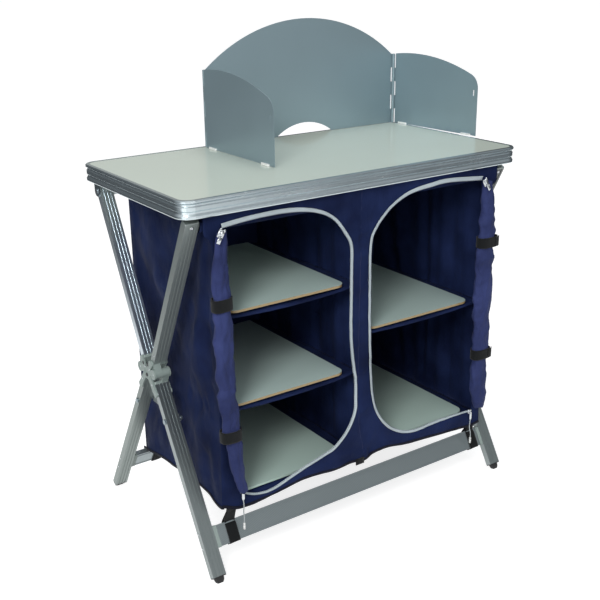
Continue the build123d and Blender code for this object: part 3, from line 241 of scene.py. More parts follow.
def woven(name, base, rough=0.62, pitch=0.55, lift=0.35, sheen=0.04, tint=None, spread=0.35, gloss=0.10,
          creased=(0.14, 0.004)):
    """Plain-weave nylon: warp and weft ridges pitch mm apart, in light creases.

    tint is the lighter colour of its broad clouds. creased is the creases' strength and height in metres.
    """
    m, t, s = new_material(name)
    xyz = axes(t, node(t, "ShaderNodeTexCoord").outputs["Object"])
    turns = 2 * math.pi / (pitch * MM)
    weave = calc(t, "MULTIPLY", *(calc(t, "SINE", calc(t, "MULTIPLY", v, turns))
                                  for v in (calc(t, "ADD", xyz[0], xyz[1]), xyz[2])))
    crease = grain(t, coords(t, (1, 1, 0.45)), 26.0, 5.0, 0.6)
    cloud = grain(t, coords(t), 7.0, 3.0)
    low = [v * (1 - spread) for v in base]
    high = tint or [min(1, v * (1 + spread)) for v in base]
    t.links.new(ramp(t, cloud, [(0.3, low), (0.7, high)]), s.inputs["Base Color"])
    roughness(t, s, crease, rough - 0.06, rough + 0.1)
    put(s, Sheen_Weight=sheen, Sheen_Roughness=0.45, Specular_IOR_Level=gloss)
    bump(t, s, weave, lift, 0.0002, (crease, *creased))
    return m


def webbing(name, base):
    """Hook-and-loop webbing: ribs along it and a fuzzy face."""
    m, t, s = new_material(name)
    c = coords(t)
    fuzz = grain(t, c, 1500.0, 4.0)
    rib = node(t, "ShaderNodeTexWave", {"Vector": c, "Scale": 190.0, "Distortion": 1.5, "Detail": 1.0},
               bands_direction="Z").outputs["Fac"]
    tones(t, s, fuzz, base, 0.6, 1.6)
    put(s, Roughness=0.85, Specular_IOR_Level=0.15, Sheen_Weight=0.12)
    bump(t, s, fuzz, 0.4, 0.0006, (rib, 0.3, 0.0006))
    return m


def satin_sheet(name, base):
    """Coated sheet metal: a fine even grain under a satin coat."""
    m, t, s = new_material(name)
    c = coords(t)
    fine = grain(t, c, 1300.0, 2.0)
    tones(t, s, grain(t, c, 4.0, 2.0), base, 0.95, 1.05)
    roughness(t, s, fine, 0.31, 0.41)
    put(s, Metallic=0.55)
    bump(t, s, fine, 0.05, 0.0002)
    return m


# Across each metal's die lines, the noise is scaled far more than along them. The leans are the legs' slopes.
ALONG_X, ALONG_Y, ALONG_Z, ALONG_LEG = (5, 120, 120), (120, 5, 120), (4, 4, 150), (150, 150, 3)
UPPER_LEAN, LOWER_LEAN = 0.4712, 0.5362

MAT = {
    "profile_x": drawn_metal("edge_aluminium", (0.60, 0.68, 0.71), 0.25, ALONG_Z, lines=0.0),
    # The legs are one aluminium. Each copy below has a lighter or darker base colour that stands in for the light on
    # that leg: painted shade on the dark copies, painted highlight on the bright rear upper legs.
    "leg_fu": drawn_metal("leg_front_upper_painted_shade", (0.30, 0.34, 0.33), 0.40, ALONG_LEG, (-UPPER_LEAN, 0, 0), 0.6),
    "leg_fr": drawn_metal("leg_front_right_painted_shade", (0.14, 0.15, 0.148), 0.42, ALONG_LEG, (-UPPER_LEAN, 0, 0)),
    "leg_ru": drawn_metal("leg_rear_upper_painted_highlight", (0.72, 0.80, 0.84), 0.36, ALONG_LEG, (UPPER_LEAN, 0, 0),
                          lines=0.0),
    "leg_fl": drawn_metal("leg_front_lower_painted_shade", (0.29, 0.325, 0.325), 0.38, ALONG_LEG, (LOWER_LEAN, 0, 0)),
    "leg_rl": drawn_metal("leg_rear_lower_painted_shade", (0.25, 0.285, 0.275), 0.40, ALONG_LEG, (-LOWER_LEAN, 0, 0)),
    "bar": drawn_metal("bar_aluminium", (0.32, 0.365, 0.375), 0.38, ALONG_X, hatch=4.2),
    "stay": drawn_metal("stay_metal", (0.42, 0.45, 0.46), 0.36, ALONG_Y),
    "steel": drawn_metal("zinc_steel", (0.60, 0.63, 0.65), 0.28, (150, 150, 150)),
    "rod": drawn_metal("hinge_rod", (0.30, 0.36, 0.39), 0.36, ALONG_X),
    "board": laminate("board_laminate", (0.50, 0.56, 0.495), 0.14),
    "shelf": laminate("shelf_laminate", (0.48, 0.61, 0.575), 0.36, (0.40, 0.29, 0.14)),
    "base": laminate("base_laminate", (0.47, 0.61, 0.55), 0.36),
    "plastic": moulded("pale_plastic", (0.27, 0.33, 0.31), 0.42),
    "white": moulded("white_plastic", (0.80, 0.81, 0.79), 0.30, 500.0, 0.04, 0.3),
    "black": moulded("black_plastic", (0.016, 0.016, 0.018), 0.38),
    "rubber": moulded("boot_rubber", (0.014, 0.014, 0.015), 0.62, 1400.0, 0.18),
    "cloth": woven("cabinet_nylon", (0.0066, 0.0115, 0.044), tint=(0.0160, 0.0275, 0.092), sheen=0.01, gloss=0.05,
                   creased=(0.5, 0.008)),
    "door": woven("door_nylon", (0.029, 0.040, 0.130), tint=(0.044, 0.059, 0.180), sheen=0.03, gloss=0.10,
                  creased=(0.8, 0.012)),
    "tape": woven("zip_tape", (0.50, 0.57, 0.60), pitch=0.7, lift=0.5, spread=0.12, rough=0.7),
    "stitch": woven("thread_navy", (0.022, 0.028, 0.080), pitch=0.3, lift=0.5, spread=0.2),
    # The near-black hem bands are painted shade where the cloth turns under, away from the light. They are not a real
    # binding.
    "hem": woven("painted_hem_shade", (0.006, 0.007, 0.016), pitch=0.8, lift=0.5, spread=0.3),
    "webbing": webbing("hook_and_loop", (0.006, 0.0068, 0.0075)),
    "cord": woven("braided_cord", (0.50, 0.54, 0.55), pitch=0.6, lift=0.8, spread=0.2),
    "screen": satin_sheet("screen_metal", (0.28, 0.37, 0.41)),
}

for nodes, key in (
    ("edge_profile", "profile_x"), ("table_board", "board"),
    # The end caps and front rests take the front upper leg's darkened copy, which is painted shade.
    ("rear_pivot_pins hub_pins", "steel"), ("upper_front_end_caps front_rests", "leg_fu"),
    ("rear_pivot_brackets front_stay_bolts rear_stay_bolts windscreen_hinge_rods", "rod"),
    ("upper_front_leg_left", "leg_fu"), ("upper_front_leg_right", "leg_fr"),
    ("upper_rear_leg_left upper_rear_leg_right", "leg_ru"),
    ("lower_front_leg_left lower_front_leg_right", "leg_fl"),
    ("lower_rear_leg_left lower_rear_leg_right", "leg_rl"),
    ("upper_front_bar upper_rear_bar lower_front_bar lower_rear_bar", "bar"),
    ("upper_front_knuckles upper_rear_knuckles lower_front_knuckles lower_rear_knuckles", "plastic"),
    ("hub_plates upper_rear_end_caps lower_front_bar_ends lower_rear_bar_ends", "plastic"),
    ("front_feet rear_feet", "rubber"), ("stays", "stay"),
    ("shelf_left_middle shelf_left_top shelf_right_middle", "shelf"), ("shelf_left_bottom shelf_right_bottom", "base"),
    ("windscreen_panel windscreen_wing_left windscreen_wing_right", "screen"),
    ("wing_feet_left wing_feet_right", "white"),
):
    for n in nodes.split():
        NODES[n].data.materials.clear()
        NODES[n].data.materials.append(MAT[key])


# -------- mesh helpers

def piece(name, verts, faces, key, body="root", stands_for=(), thick=0.0):
    """A smooth-shaded mesh that rides on body, with both faces of a sheet if it is thick."""
    mesh = bpy.data.meshes.new(name)
    mesh.from_pydata([(x * MM, y * MM, z * MM) for x, y, z in verts], [], faces)
    mesh.update()
    mesh.polygons.foreach_set("use_smooth", [True] * len(mesh.polygons))
    obj = bpy.data.objects.new(name, mesh)
    bpy.context.scene.collection.objects.link(obj)
    mesh.materials.append(MAT[key])
    if thick:
        skin = obj.modifiers.new("thickness", "SOLIDIFY")
        skin.thickness = thick * MM
        skin.offset = 0
    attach(obj, body)
    if stands_for:
        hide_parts(*stands_for)
    return obj


def quads(rows, columns, wrap=False, ring=False):
    """Faces over rows of points. wrap joins the ends of each row, and ring the last row to the first."""
    return [(j * columns + i, j * columns + (i + 1) % columns, (j + 1) % rows * columns + (i + 1) % columns,
             (j + 1) % rows * columns + i)
            for j in range(rows if ring else rows - 1) for i in range(columns if wrap else columns - 1)]


def spline(points, count):
    """Catmull-Rom curve through points, count points evenly spaced along it."""
    p = np.array(points, float)
    ext = np.vstack([2 * p[0] - p[1], p, 2 * p[-1] - p[-2]])
    out = []
    for i in range(len(p) - 1):
        a, b, c, d = ext[i:i + 4]
        t = np.linspace(0, 1, 12, endpoint=False)[:, None]
        out.append(0.5 * (2 * b + (c - a) * t + (2 * a - 5 * b + 4 * c - d) * t**2 + (3 * b - a - 3 * c + d) * t**3))
    out = np.vstack(out + [p[-1:]])
    return even(out, count)


def travelled(line):
    """The length from a line's start to each of its points."""
    return np.concatenate([[0], np.cumsum(np.linalg.norm(np.diff(line, axis=0), axis=1))])


def even(line, count):
    line = np.array(line, float)
    s = travelled(line)
    at = np.linspace(0, s[-1], count)
    return np.stack([np.interp(at, s, line[:, k]) for k in range(line.shape[1])], 1)


def cloth(name, nu, nv, place, stands_for=(), thick=0.7, body="root", close_u=False):
    """A sheet of the cabinet's cloth over (u, v) in 0..1, from place(u, v)."""
    w = nu if close_u else nu + 1
    verts = [place(i / nu, j / nv) for j in range(nv + 1) for i in range(w)]
    return piece(name, verts, quads(nv + 1, w, close_u), "cloth", body, stands_for=stands_for, thick=thick)


class Bits:
    """Small hardware gathered into one mesh."""

    def __init__(self):
        self.verts, self.faces = [], []

    def add(self, verts, faces):
        n = len(self.verts)
        self.verts += [tuple(v) for v in verts]
        self.faces += [tuple(n + i for i in f) for f in faces]

    def add_capped(self, verts, rows, count):
        ends = [tuple(reversed(range(count))), tuple(range((rows - 1) * count, rows * count))]
        self.add(verts, quads(rows, count, True) + ends)

    def lathe(self, centre, axis, profile, count=18):
        """profile is (radius, height along axis) from one pole to the other."""
        q = Vector((0, 0, 1)).rotation_difference(Vector(axis).normalized())
        verts = [Vector(centre) + q @ Vector((r * math.cos(2 * math.pi * k / count),
                                              r * math.sin(2 * math.pi * k / count), h))
                 for r, h in profile for k in range(count)]
        self.add_capped(verts, len(profile), count)

    def rivet(self, centre, axis, radius, height):
        self.lathe(centre, axis, [(radius, -0.6), (radius, height * 0.25), (radius * 0.92, height * 0.6),
                                  (radius * 0.65, height * 0.9), (radius * 0.15, height)])

    def screw(self, centre, axis, radius, height):
        """A pan head with a round recess."""
        self.lathe(centre, axis, [
            (radius, -0.6), (radius, height * 0.5), (radius * 0.8, height), (radius * 0.5, height),
            (radius * 0.38, height * 0.35), (radius * 0.05, height * 0.3)])

    def block(self, centre, size, chamfer, frame=None):
        """A box with chamfered edges. frame is a matrix whose columns are its axes."""
        m = frame or Matrix.Identity(3)
        h = [s / 2 for s in size]
        rings = []
        for z, inset in ((-h[2], chamfer), (-h[2] + chamfer, 0), (h[2] - chamfer, 0), (h[2], chamfer)):
            x, y = h[0] - inset, h[1] - inset
            cx, cy = min(chamfer, x * 0.9), min(chamfer, y * 0.9)
            rings.append([(x, -y + cy, z), (x, y - cy, z), (x - cx, y, z), (-x + cx, y, z),
                          (-x, y - cy, z), (-x, -y + cy, z), (-x + cx, -y, z), (x - cx, -y, z)])
        verts = [Vector(centre) + m @ Vector(v) for ring in rings for v in ring]
        self.add_capped(verts, 4, 8)

    def tube(self, line, radius, count=8, closed=False):
        p = [Vector(v) for v in line]
        n = len(p)
        verts, side = [], None
        for i in range(n):
            a, b = (p[i - 1], p[(i + 1) % n]) if closed else (p[max(i - 1, 0)], p[min(i + 1, n - 1)])
            d = (b - a).normalized()
            if side is None:
                side = d.cross(Vector((0.13, 0.91, 0.4))).normalized()
            side = (side - d * side.dot(d)).normalized()
            up = d.cross(side)
            turns = [2 * math.pi * k / count for k in range(count)]
            verts += [p[i] + radius * (math.cos(a) * side + math.sin(a) * up) for a in turns]
        if closed:
            self.add(verts, quads(n, count, True, True))
        else:
            self.add_capped(verts, n, count)

    def stitches(self, line, out, pitch=4.2, length=2.8, radius=0.32):
        """Short threads along a line of points, raised along out."""
        line = np.array(line, float)
        s, o = travelled(line), Vector(out)
        for k in range(int(s[-1] / pitch)):
            ends = [Vector([np.interp(k * pitch + d, s, line[:, c]) for c in range(3)]) for d in (0, length)]
            mid = (ends[0] + ends[1]) / 2
            self.tube([ends[0] - o * 0.3, ends[0] * 0.7 + mid * 0.3 + o * 0.25, ends[1] * 0.7 + mid * 0.3 + o * 0.25,
                       ends[1] - o * 0.3], radius, 5)

    def make(self, name, key, body, slot, stands_for=()):
        return piece(name, self.verts, self.faces, key, body, stands_for)


def heading(line, i):
    """A line's direction at its point i."""
    return Vector(line[min(i + 1, len(line) - 1)]) - Vector(line[max(i - 1, 0)])


def foot_of(place, count, shift):
    """A line of points along the lower edge of place(u, v), moved by shift."""
    return [Vector(place(k / count, 0)) + Vector(shift) for k in range(count + 1)]


def bell(d, width):
    return math.exp(-(d / width) ** 2)


def ridges(marks):
    """A height over two coordinates from creases: (a0, b0, a1, b1, width, height), fading at both ends."""
    def height(a, b):
        total = 0.0
        for a0, b0, a1, b1, width, lift in marks:
            da, db = a1 - a0, b1 - b0
            length = math.hypot(da, db)
            along = ((a - a0) * da + (b - b0) * db) / length**2
            off = ((a - a0) * db - (b - b0) * da) / length
            if abs(off) > 3 * width or not -0.3 < along < 1.3:
                continue
            fade = max(0.0, min(1.0, (along + 0.25) * 3, (1.25 - along) * 3))
            total += lift * bell(off, width) * fade * fade * (3 - 2 * fade)
        return total
    return height


def ripple(a, b, scale=90.0, seed=0.0):
    return noise.noise(Vector((a / scale, b / scale, seed)))


def crumple(a, b, scale=40.0, seed=0.0):
    """Facets that meet in sharp creases."""
    return 1 - 2.4 * abs(noise.noise(Vector((a / scale, b / scale, seed))))


def strips(line, width, out, twist=None):
    """Rows of four points across a band whose middle follows line and whose face looks along out.

    width is a number or a function of the share of the line, as twist is, which turns the band by radians.
    """
    rows = []
    for i, p in enumerate(line):
        t = i / (len(line) - 1)
        d = heading(line, i).normalized()
        side = d.cross(Vector(out)).normalized()
        if twist:
            side = Matrix.Rotation(twist(t), 3, d) @ side
        half = (width(t) if callable(width) else width) / 2
        rows.append([Vector(p) + side * (half * (2 * k / 3 - 1)) for k in range(4)])
    return rows


def band(name, line, width, key, stands_for=(), thick=1.6, out=(0, -1, 0), twist=None):
    rows = strips(line, width, out, twist)
    verts = [v for row in rows for v in row]
    return piece(name, verts, quads(len(rows), len(rows[0])), key, "root", stands_for, thick)


def inside(points, loop):
    x, z = points[:, 0], points[:, 1]
    hit = np.zeros(len(points), bool)
    for (x0, z0), (x1, z1) in zip(loop, np.roll(loop, -1, 0)):
        cross = (z0 > z) != (z1 > z)
        with np.errstate(divide="ignore", invalid="ignore"):
            hit ^= cross & (x < (x1 - x0) * (z - z0) / (z1 - z0) + x0)
    return hit


def cut_out(outline, holes, step):
    """Points and triangles that fill a flat outline, apart from its holes."""
    loops = [np.array(loop, float)[:, :2] for loop in [outline] + list(holes)]
    points, edges = [], []
    for loop in loops:
        closed = np.vstack([loop, loop[:1]])
        length = np.linalg.norm(np.diff(closed, axis=0), axis=1).sum()
        ring = even(closed, max(8, int(length / step)) + 1)[:-1]
        n = len(points)
        points += [Vector(p) for p in ring]
        edges += [(n + i, n + (i + 1) % len(ring)) for i in range(len(ring))]
    rng = np.random.default_rng(4)
    low, high = loops[0].min(0), loops[0].max(0)
    cells = [np.arange(low[k] + step, high[k], step) for k in (0, 1)]
    inner = np.stack(np.meshgrid(*cells), -1).reshape(-1, 2)
    inner += rng.uniform(-0.22, 0.22, inner.shape) * step
    keep = inside(inner, loops[0])
    for loop in loops[1:]:
        keep &= ~inside(inner, loop)
    inner = inner[keep]
    rim = np.array([(p[0], p[1]) for p in points])
    gap = np.sqrt(((inner[:, None, :] - rim[None, :, :]) ** 2).sum(-1)).min(1)
    points += [Vector(p) for p in inner[gap > 0.55 * step]]
    found, _, faces = delaunay_2d_cdt(points, edges, [], 0, 1e-4)[:3]
    spots = np.array([(p.x, p.y) for p in found])
    middles = np.array([spots[list(f)].mean(0) for f in faces])
    keep = inside(middles, loops[0])
    for loop in loops[1:]:
        keep &= ~inside(middles, loop)
    return spots, [tuple(f) for f, k in zip(faces, keep) if k]


def fold_flat(*pieces):
    """Gives each piece its own copy of its mesh."""
    for p in pieces:
        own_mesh(p)


def soft(obj, with_pieces=()):
    """Gives a sheet of cloth and the pieces on it their own copies of their meshes."""
    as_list(with_pieces)
    fold_flat(obj, *with_pieces)


# -------- cabinet: lines that several pieces share

FRONT_Y, REAR_Y, CABINET_X, FLOOR_Z = -207.5, 198.5, 360.0, 157.0
WALL_GAP = 2.6    # between a shelf sling or the floor and the outer walls
HEM_UP = 2.6    # from a panel's lower edge to the middle of the painted-shade band along its hem
LEFT_ZIP = spline([
    (-341, 739), (-285, 744), (-220, 746), (-163, 742), (-114, 730), (-78, 709), (-50, 674), (-36, 646), (-35, 600),
    (-35.5, 520), (-35, 440), (-27, 371), (-21.5, 330), (-21, 301), (-23, 265), (-42, 226), (-73, 197), (-102, 186),
    (-153, 174), (-200, 160), (-242, 149), (-276, 150), (-304, 160), (-320, 172)], 260)
RIGHT_ZIP = spline([
    (332, 737), (230, 746), (180, 743), (138, 739), (103, 730), (69, 712), (42, 689), (25, 667), (17, 647),
    (14.5, 605), (15, 550), (15, 491), (17, 420), (21, 351), (25, 300), (35, 260), (52, 226), (79, 196), (114, 175),
    (154, 165), (200, 167), (242, 168), (290, 166.5), (321, 165), (338, 163)], 260)
LEFT_DOOR = np.vstack([LEFT_ZIP, [(-330, 230), (-338, 300), (-341, 520)]])
RIGHT_DOOR = np.vstack([RIGHT_ZIP, [(338, 200), (338, 420), (336, 600)]])
FRONT_HEM = spline([
    (-365, 147), (-355.7, 142.8), (-319.6, 130.5), (-249.5, 132.6), (-176.6, 141.7), (-118.8, 141.6), (-77, 137),
    (-29, 140), (-1, 134.8), (12.6, 135.4), (34.5, 144.6), (76, 145.6), (125, 138.1), (227, 128.9), (323.6, 121.3),
    (345, 121), (364, 124)], 150)

front_folds = ridges([
    (-10, 752, -8, 640, 5, -1.6), (-8, 640, -12, 300, 5, -1.4), (-12, 300, 3, 150, 5, -1.4),
    (-24, 664, 8, 672, 6, 2.2), (-26, 640, 8, 649, 6, 2.4), (-22, 690, 12, 704, 7, 2.0), (-25, 610, 6, 622, 7, 1.6),
    (-25, 348, 4, 356, 7, 2.4), (-25, 417, -2, 427, 7, 2.0), (-24, 471, 0, 477, 6, 1.8), (-26, 540, 2, 548, 8, 1.6),
    (-18, 250, 20, 268, 8, 2.6), (-40, 205, 10, 172, 9, 3.0), (8, 200, 22, 150, 6, -2.4), (-60, 172, 6, 150, 8, 2.4),
    (30, 200, 10, 150, 7, 2.2), (-140, 158, -60, 148, 8, 2.0), (60, 165, 130, 150, 8, 2.0),
    (170, 152, 250, 142, 9, 2.2), (-260, 141, -180, 151, 7, 1.8), (250, 158, 330, 138, 10, 2.6),
    (-350, 620, -340, 300, 8, 2.0),
])


def front_relief(x, z):
    """The front cloth's y: creases, a pull at its posts and a looser lower border."""
    tug = 0.0
    for post in (-7.0, 350.0, -350.0):
        tug += 1.2 * ripple(x - post, z, 34, 3.1) * bell(x - post, 60)
    lower = max(0.0, (170 - z) / 40)
    return FRONT_Y - front_folds(x, z) + tug + 2.2 * lower * ripple(x, z, 42, 9.4) + 0.7 * ripple(x, z, 17, 5.5)


def on_front(line, out=0.0):
    return [(x, front_relief(x, z) - out, z) for x, z in line]


# -------- cabinet: front

outline = [*FRONT_HEM, (361, 300), (361, 520), (361, 690), (366, 716), (379, 724), (379, 760), (361, 764),
           (180, 766), (0, 765), (-180, 766), (-361, 764), (-379, 760), (-379, 724), (-366, 716), (-361, 690),
           (-361, 520), (-362, 300)]
spots, faces = cut_out(outline, [LEFT_DOOR, RIGHT_DOOR], 5.5)
front_cloth = piece("front_cloth", on_front(spots), faces, "cloth", stands_for=("front_panel",), thick=0.7)

seam = spline([(-8, 758), (-9, 640), (-13, 420), (-11, 250), (4, 150)], 90)
# The front's near-black hem band is painted shade.
hem_shade_and_seam = [band("front_painted_hem_shade", [(x, y, z + HEM_UP) for x, y, z in on_front(FRONT_HEM, 0.4)], 6.6, "hem"),
         band("front_seam", on_front(seam, 0.3), 1.3, "stitch", thick=0.7)]
soft(front_cloth, hem_shade_and_seam)

SLEEVE_Y, SLEEVE_Z = -185.9, 739.75    # axis of the upper front bar
SLEEVE_DEEP, SLEEVE_TALL = 10.4, 12.6


def sleeve(u, v):
    x = -379 + 758 * v
    a = 2 * math.pi * u
    puff = 1.0 + 0.05 * ripple(x, a * 12, 24, 81.0)
    return (x, SLEEVE_Y + SLEEVE_DEEP * puff * math.cos(a), SLEEVE_Z + SLEEVE_TALL * puff * math.sin(a))


bar_sleeve = cloth("upper_front_sleeve", 24, 90, sleeve, thick=0.6, body="upper_front", close_u=True)


# -------- cabinet: zips

TAPE_OUT = 1.4    # from the cloth's middle to the tape's


def zip_twist(t):
    """The tape stands up off the cloth along its lower curve."""
    return 0.55 * bell(t - 0.70, 0.10)


def tape_width(t):
    """Flat and wide along the top, narrower down the post and along the bottom."""
    return 6.4 + 3.0 * max(0.0, min(1.0, (0.24 - t) / 0.10)) - 2.2 * max(0.0, min(1.0, (t - 0.90) / 0.06))


tapes = [band(f"zip_tape_{side}", on_front(path, TAPE_OUT), tape_width, "tape", ("zip_tapes",), 0.9,
              twist=lambda t: sign * zip_twist(t))
         for side, path, sign in (("left", LEFT_ZIP, 1), ("right", RIGHT_ZIP, -1))]


def zip_teeth(name, path, free_edge):
    """The coil along the free edge of a tape, which is 0 or -1, and the seam along its other edge."""
    teeth, seam = Bits(), Bits()
    rows = strips(on_front(path, TAPE_OUT), lambda t: tape_width(t) - 1.0, (0, -1, 0))
    free, sewn = ([row[k] for row in rows] for k in (free_edge, -1 - free_edge))
    line = [Vector(p) for p in even(free, 420)]
    back = Vector((0, 1, 0))
    for a, b in zip(line, line[1:]):
        d = (b - a).normalized()
        teeth.block(a - 0.6 * back, (1.5, 1.6, 2.6), 0.5, Matrix((d, back, d.cross(back))).transposed())
    seam.stitches([(v.x, v.y - 0.55, v.z) for v in sewn], (0, -1, 0), 5.0, 3.4, 0.35)
    return [teeth.make(name + "_teeth", "tape", "root", "zip_tape"),
            seam.make(name + "_stitches", "stitch", "root", "zip_tape")]


teeth = [zip_teeth("zip_left", LEFT_ZIP, 0), zip_teeth("zip_right", RIGHT_ZIP, -1)]
for tape, more, length in zip(tapes, teeth, (1.27, 1.30)):
    soft(tape, more)


# -------- cabinet: sides, divider, back and floor

side_folds = ridges([(*m[:4], m[4] * 1.7, m[5] * 1.25) for m in (
    (91, 710, 0, 554, 24, 6), (150, 583, 48, 471, 22, -5), (63, 571, 3, 531, 16, 4), (-192, 729, -153, 512, 12, -5),
    (-164, 672, -132, 506, 16, 5), (-136, 676, -71, 486, 22, -5), (-132, 512, -110, 411, 16, 4),
    (-165, 523, -165, 432, 13, -5), (-133, 480, -134, 361, 18, 4), (-64, 348, -116, 343, 14, -4),
    (-116, 343, -155, 357, 14, -4), (-155, 357, -187, 400, 14, -4), (-172, 367, -113, 264, 18, 4),
    (-202, 300, -194, 182, 12, -4), (-185, 274, -177, 173, 14, 4), (114, 208, 20, 171, 18, 5),
    (140, 640, 40, 560, 20, 3.5), (170, 500, 120, 330, 24, 5), (150, 420, 90, 250, 20, -4),
    (60, 400, 20, 230, 26, 4), (-20, 460, -50, 260, 24, -3.5), (-90, 300, -110, 170, 20, 4),
    (-140, 240, -150, 160, 13, -3), (150, 230, 60, 200, 18, -4), (185, 700, 178, 400, 13, 4))
])
SIDE_DEPTH, SIDE_TOP = 403, 742
REAR_IN = 22    # how far the left side leans in by its rear edge
LEFT_SIDE_HEM = spline([(-207, 142), (-188, 137), (-102, 146), (2, 132), (108, 119), (160, 108), (198, 100)], 80)


def side_x(y, z):
    t = min(1.0, max(0.0, (y - FRONT_Y) / SIDE_DEPTH))
    sway = 4.0 * math.sin(math.pi * t) * math.sin(math.pi * (z - 120) / 620)
    return (-CABINET_X + REAR_IN * t**1.4 - side_folds(y, z) + sway + 3.4 * crumple(y + 0.5 * z, z * 0.6, 120, 2.2)
            + 1.2 * crumple(y, z, 48, 7.7) - 2.3)


def left_side(u, v):
    y = FRONT_Y + 0.5 + SIDE_DEPTH * u
    foot = float(np.interp(y, LEFT_SIDE_HEM[:, 0], LEFT_SIDE_HEM[:, 1]))
    z = foot + (SIDE_TOP - foot) * v
    x, edge = side_x(y, z), min(1.0, 12 * u, 14 * (1 - u))
    if edge < 1:
        x = x * edge + (1 - edge) * (-CABINET_X + (REAR_IN if u > 0.5 else 0))
    return (x, y, z)


cloth_left = cloth("side_cloth_left", 96, 128, left_side, ("upright_panels",))
left_hem = [(side_x(y, z) - 0.5, y, z + HEM_UP) for y, z in LEFT_SIDE_HEM]
# The left side's near-black hem band is painted shade.
left_hem_shade = band("side_left_painted_hem_shade", left_hem, 6.4, "hem", out=(-1, 0, 0))

right_folds = ridges([(*m[:4], m[4] * 1.5, m[5] * 0.9) for m in (
    (150, 720, 80, 200, 10, -6), (118, 700, 52, 230, 10, 6), (60, 730, 40, 220, 12, -4), (20, 725, 5, 210, 10, 4),
    (-5, 715, -16, 220, 9, -6), (-34, 720, -26, 200, 9, 6), (-66, 700, -70, 230, 8, 5), (-98, 725, -106, 215, 9, -6),
    (-140, 715, -166, 220, 11, 6), (-180, 700, -190, 240, 9, -4), (150, 610, 100, 500, 10, 4),
    (-20, 640, 40, 560, 12, 3))
])


def right_x(y, z):
    u = (y - FRONT_Y - 0.5) / SIDE_DEPTH
    edge = max(0.0, min(1.0, 12 * u, 14 * (1 - u)))
    return min(CABINET_X + 6, CABINET_X - 3 - edge * (right_folds(y, z) * 0.75 + 3.5 * ripple(y, z, 60, 11.2) + 2.0))


def right_side(u, v):
    y = FRONT_Y + 0.5 + SIDE_DEPTH * u
    foot = 122 - 6 * u + 5 * math.sin(5 * u)
    z = foot + (SIDE_TOP - foot) * v
    return (right_x(y, z), y, z)


def between_walls(x0, x1, u, y, z):
    """A place across a flat cloth that stops short of the outer walls."""
    low = max(x0, side_x(y, z) + WALL_GAP) if x0 < -100 else x0
    high = min(x1, right_x(y, z) - WALL_GAP) if x1 > 100 else x1
    return low + (high - low) * u


cloth_right = cloth("side_cloth_right", 96, 110, right_side, ("upright_panels",))
# The right side's near-black hem band is painted shade.
right_hem_shade = band("side_right_painted_hem_shade", foot_of(right_side, 60, (0.5, 0, HEM_UP)), 6.4, "hem", out=(1, 0, 0))

divider_folds = ridges([
    (150, 700, 110, 250, 16, 5), (60, 720, 40, 220, 16, -5), (-40, 700, -50, 250, 15, 5),
    (-120, 715, -130, 230, 13, -5), (-170, 640, -176, 300, 10, 4),
])


def divider(u, v):
    y = FRONT_Y + 1 + 401 * u
    z = 158 + 580 * v
    edge = min(1.0, 12 * u, 12 * (1 - u))
    return (-8 + edge * (divider_folds(y, z) + 3 * ripple(y, z, 80, 21.0)), y, z)


cloth_divider = cloth("divider_cloth", 60, 80, divider, ("upright_panels",))


def back(u, v):
    x = -CABINET_X + REAR_IN + (2 * CABINET_X - 24) * u
    foot = 112 + 6 * math.sin(3 * math.pi * u)
    z = foot + (752 - foot) * v
    gathers = 4 * math.sin(x / 26 + 1.4 * ripple(x, z, 150, 3.0)) * math.sin(math.pi * v)
    fold = 5 * ripple(x, z * 0.5, 60, 31.0) + gathers
    edge = min(1.0, 20 * u, 20 * (1 - u))
    return (x, REAR_Y - 3 + edge * max(-0.6, fold * 0.7), z)


cloth_back = cloth("back_cloth", 110, 80, back, ("back_panel",))
# The back's near-black hem band is painted shade.
back_hem_shade = band("back_painted_hem_shade", foot_of(back, 80, (0, 0.5, HEM_UP)), 6.4, "hem", out=(0, 1, 0))


def floor_cloth(u, v):
    y = FRONT_Y + 3 + 398 * v
    x = between_walls(-CABINET_X + 10, CABINET_X - 6, u, y, FLOOR_Z)
    sag = 3 * abs(math.sin(2 * math.pi * u))
    hidden = FLOOR_Z - 12 - float(np.interp(x, FRONT_HEM[:, 0], FRONT_HEM[:, 1]))    # above the front's hem
    turn_down = min(24, hidden) * max(0.0, 1 - v / 0.035)    # the front edge hangs behind the front's lower border
    return (x, y, FLOOR_Z - 1.5 - sag - turn_down + 1.0 * ripple(x, y, 50, 41.0))


cloth_floor = cloth("floor_cloth", 80, 86, floor_cloth, ("floor_panel",))

soft(cloth_left, with_pieces=[left_hem_shade])
soft(cloth_right, with_pieces=[right_hem_shade])
soft(cloth_divider)
soft(cloth_back, with_pieces=[back_hem_shade])
soft(cloth_floor)


# -------- cabinet: slings under the upper boards

BOARD_THICK = 5.0


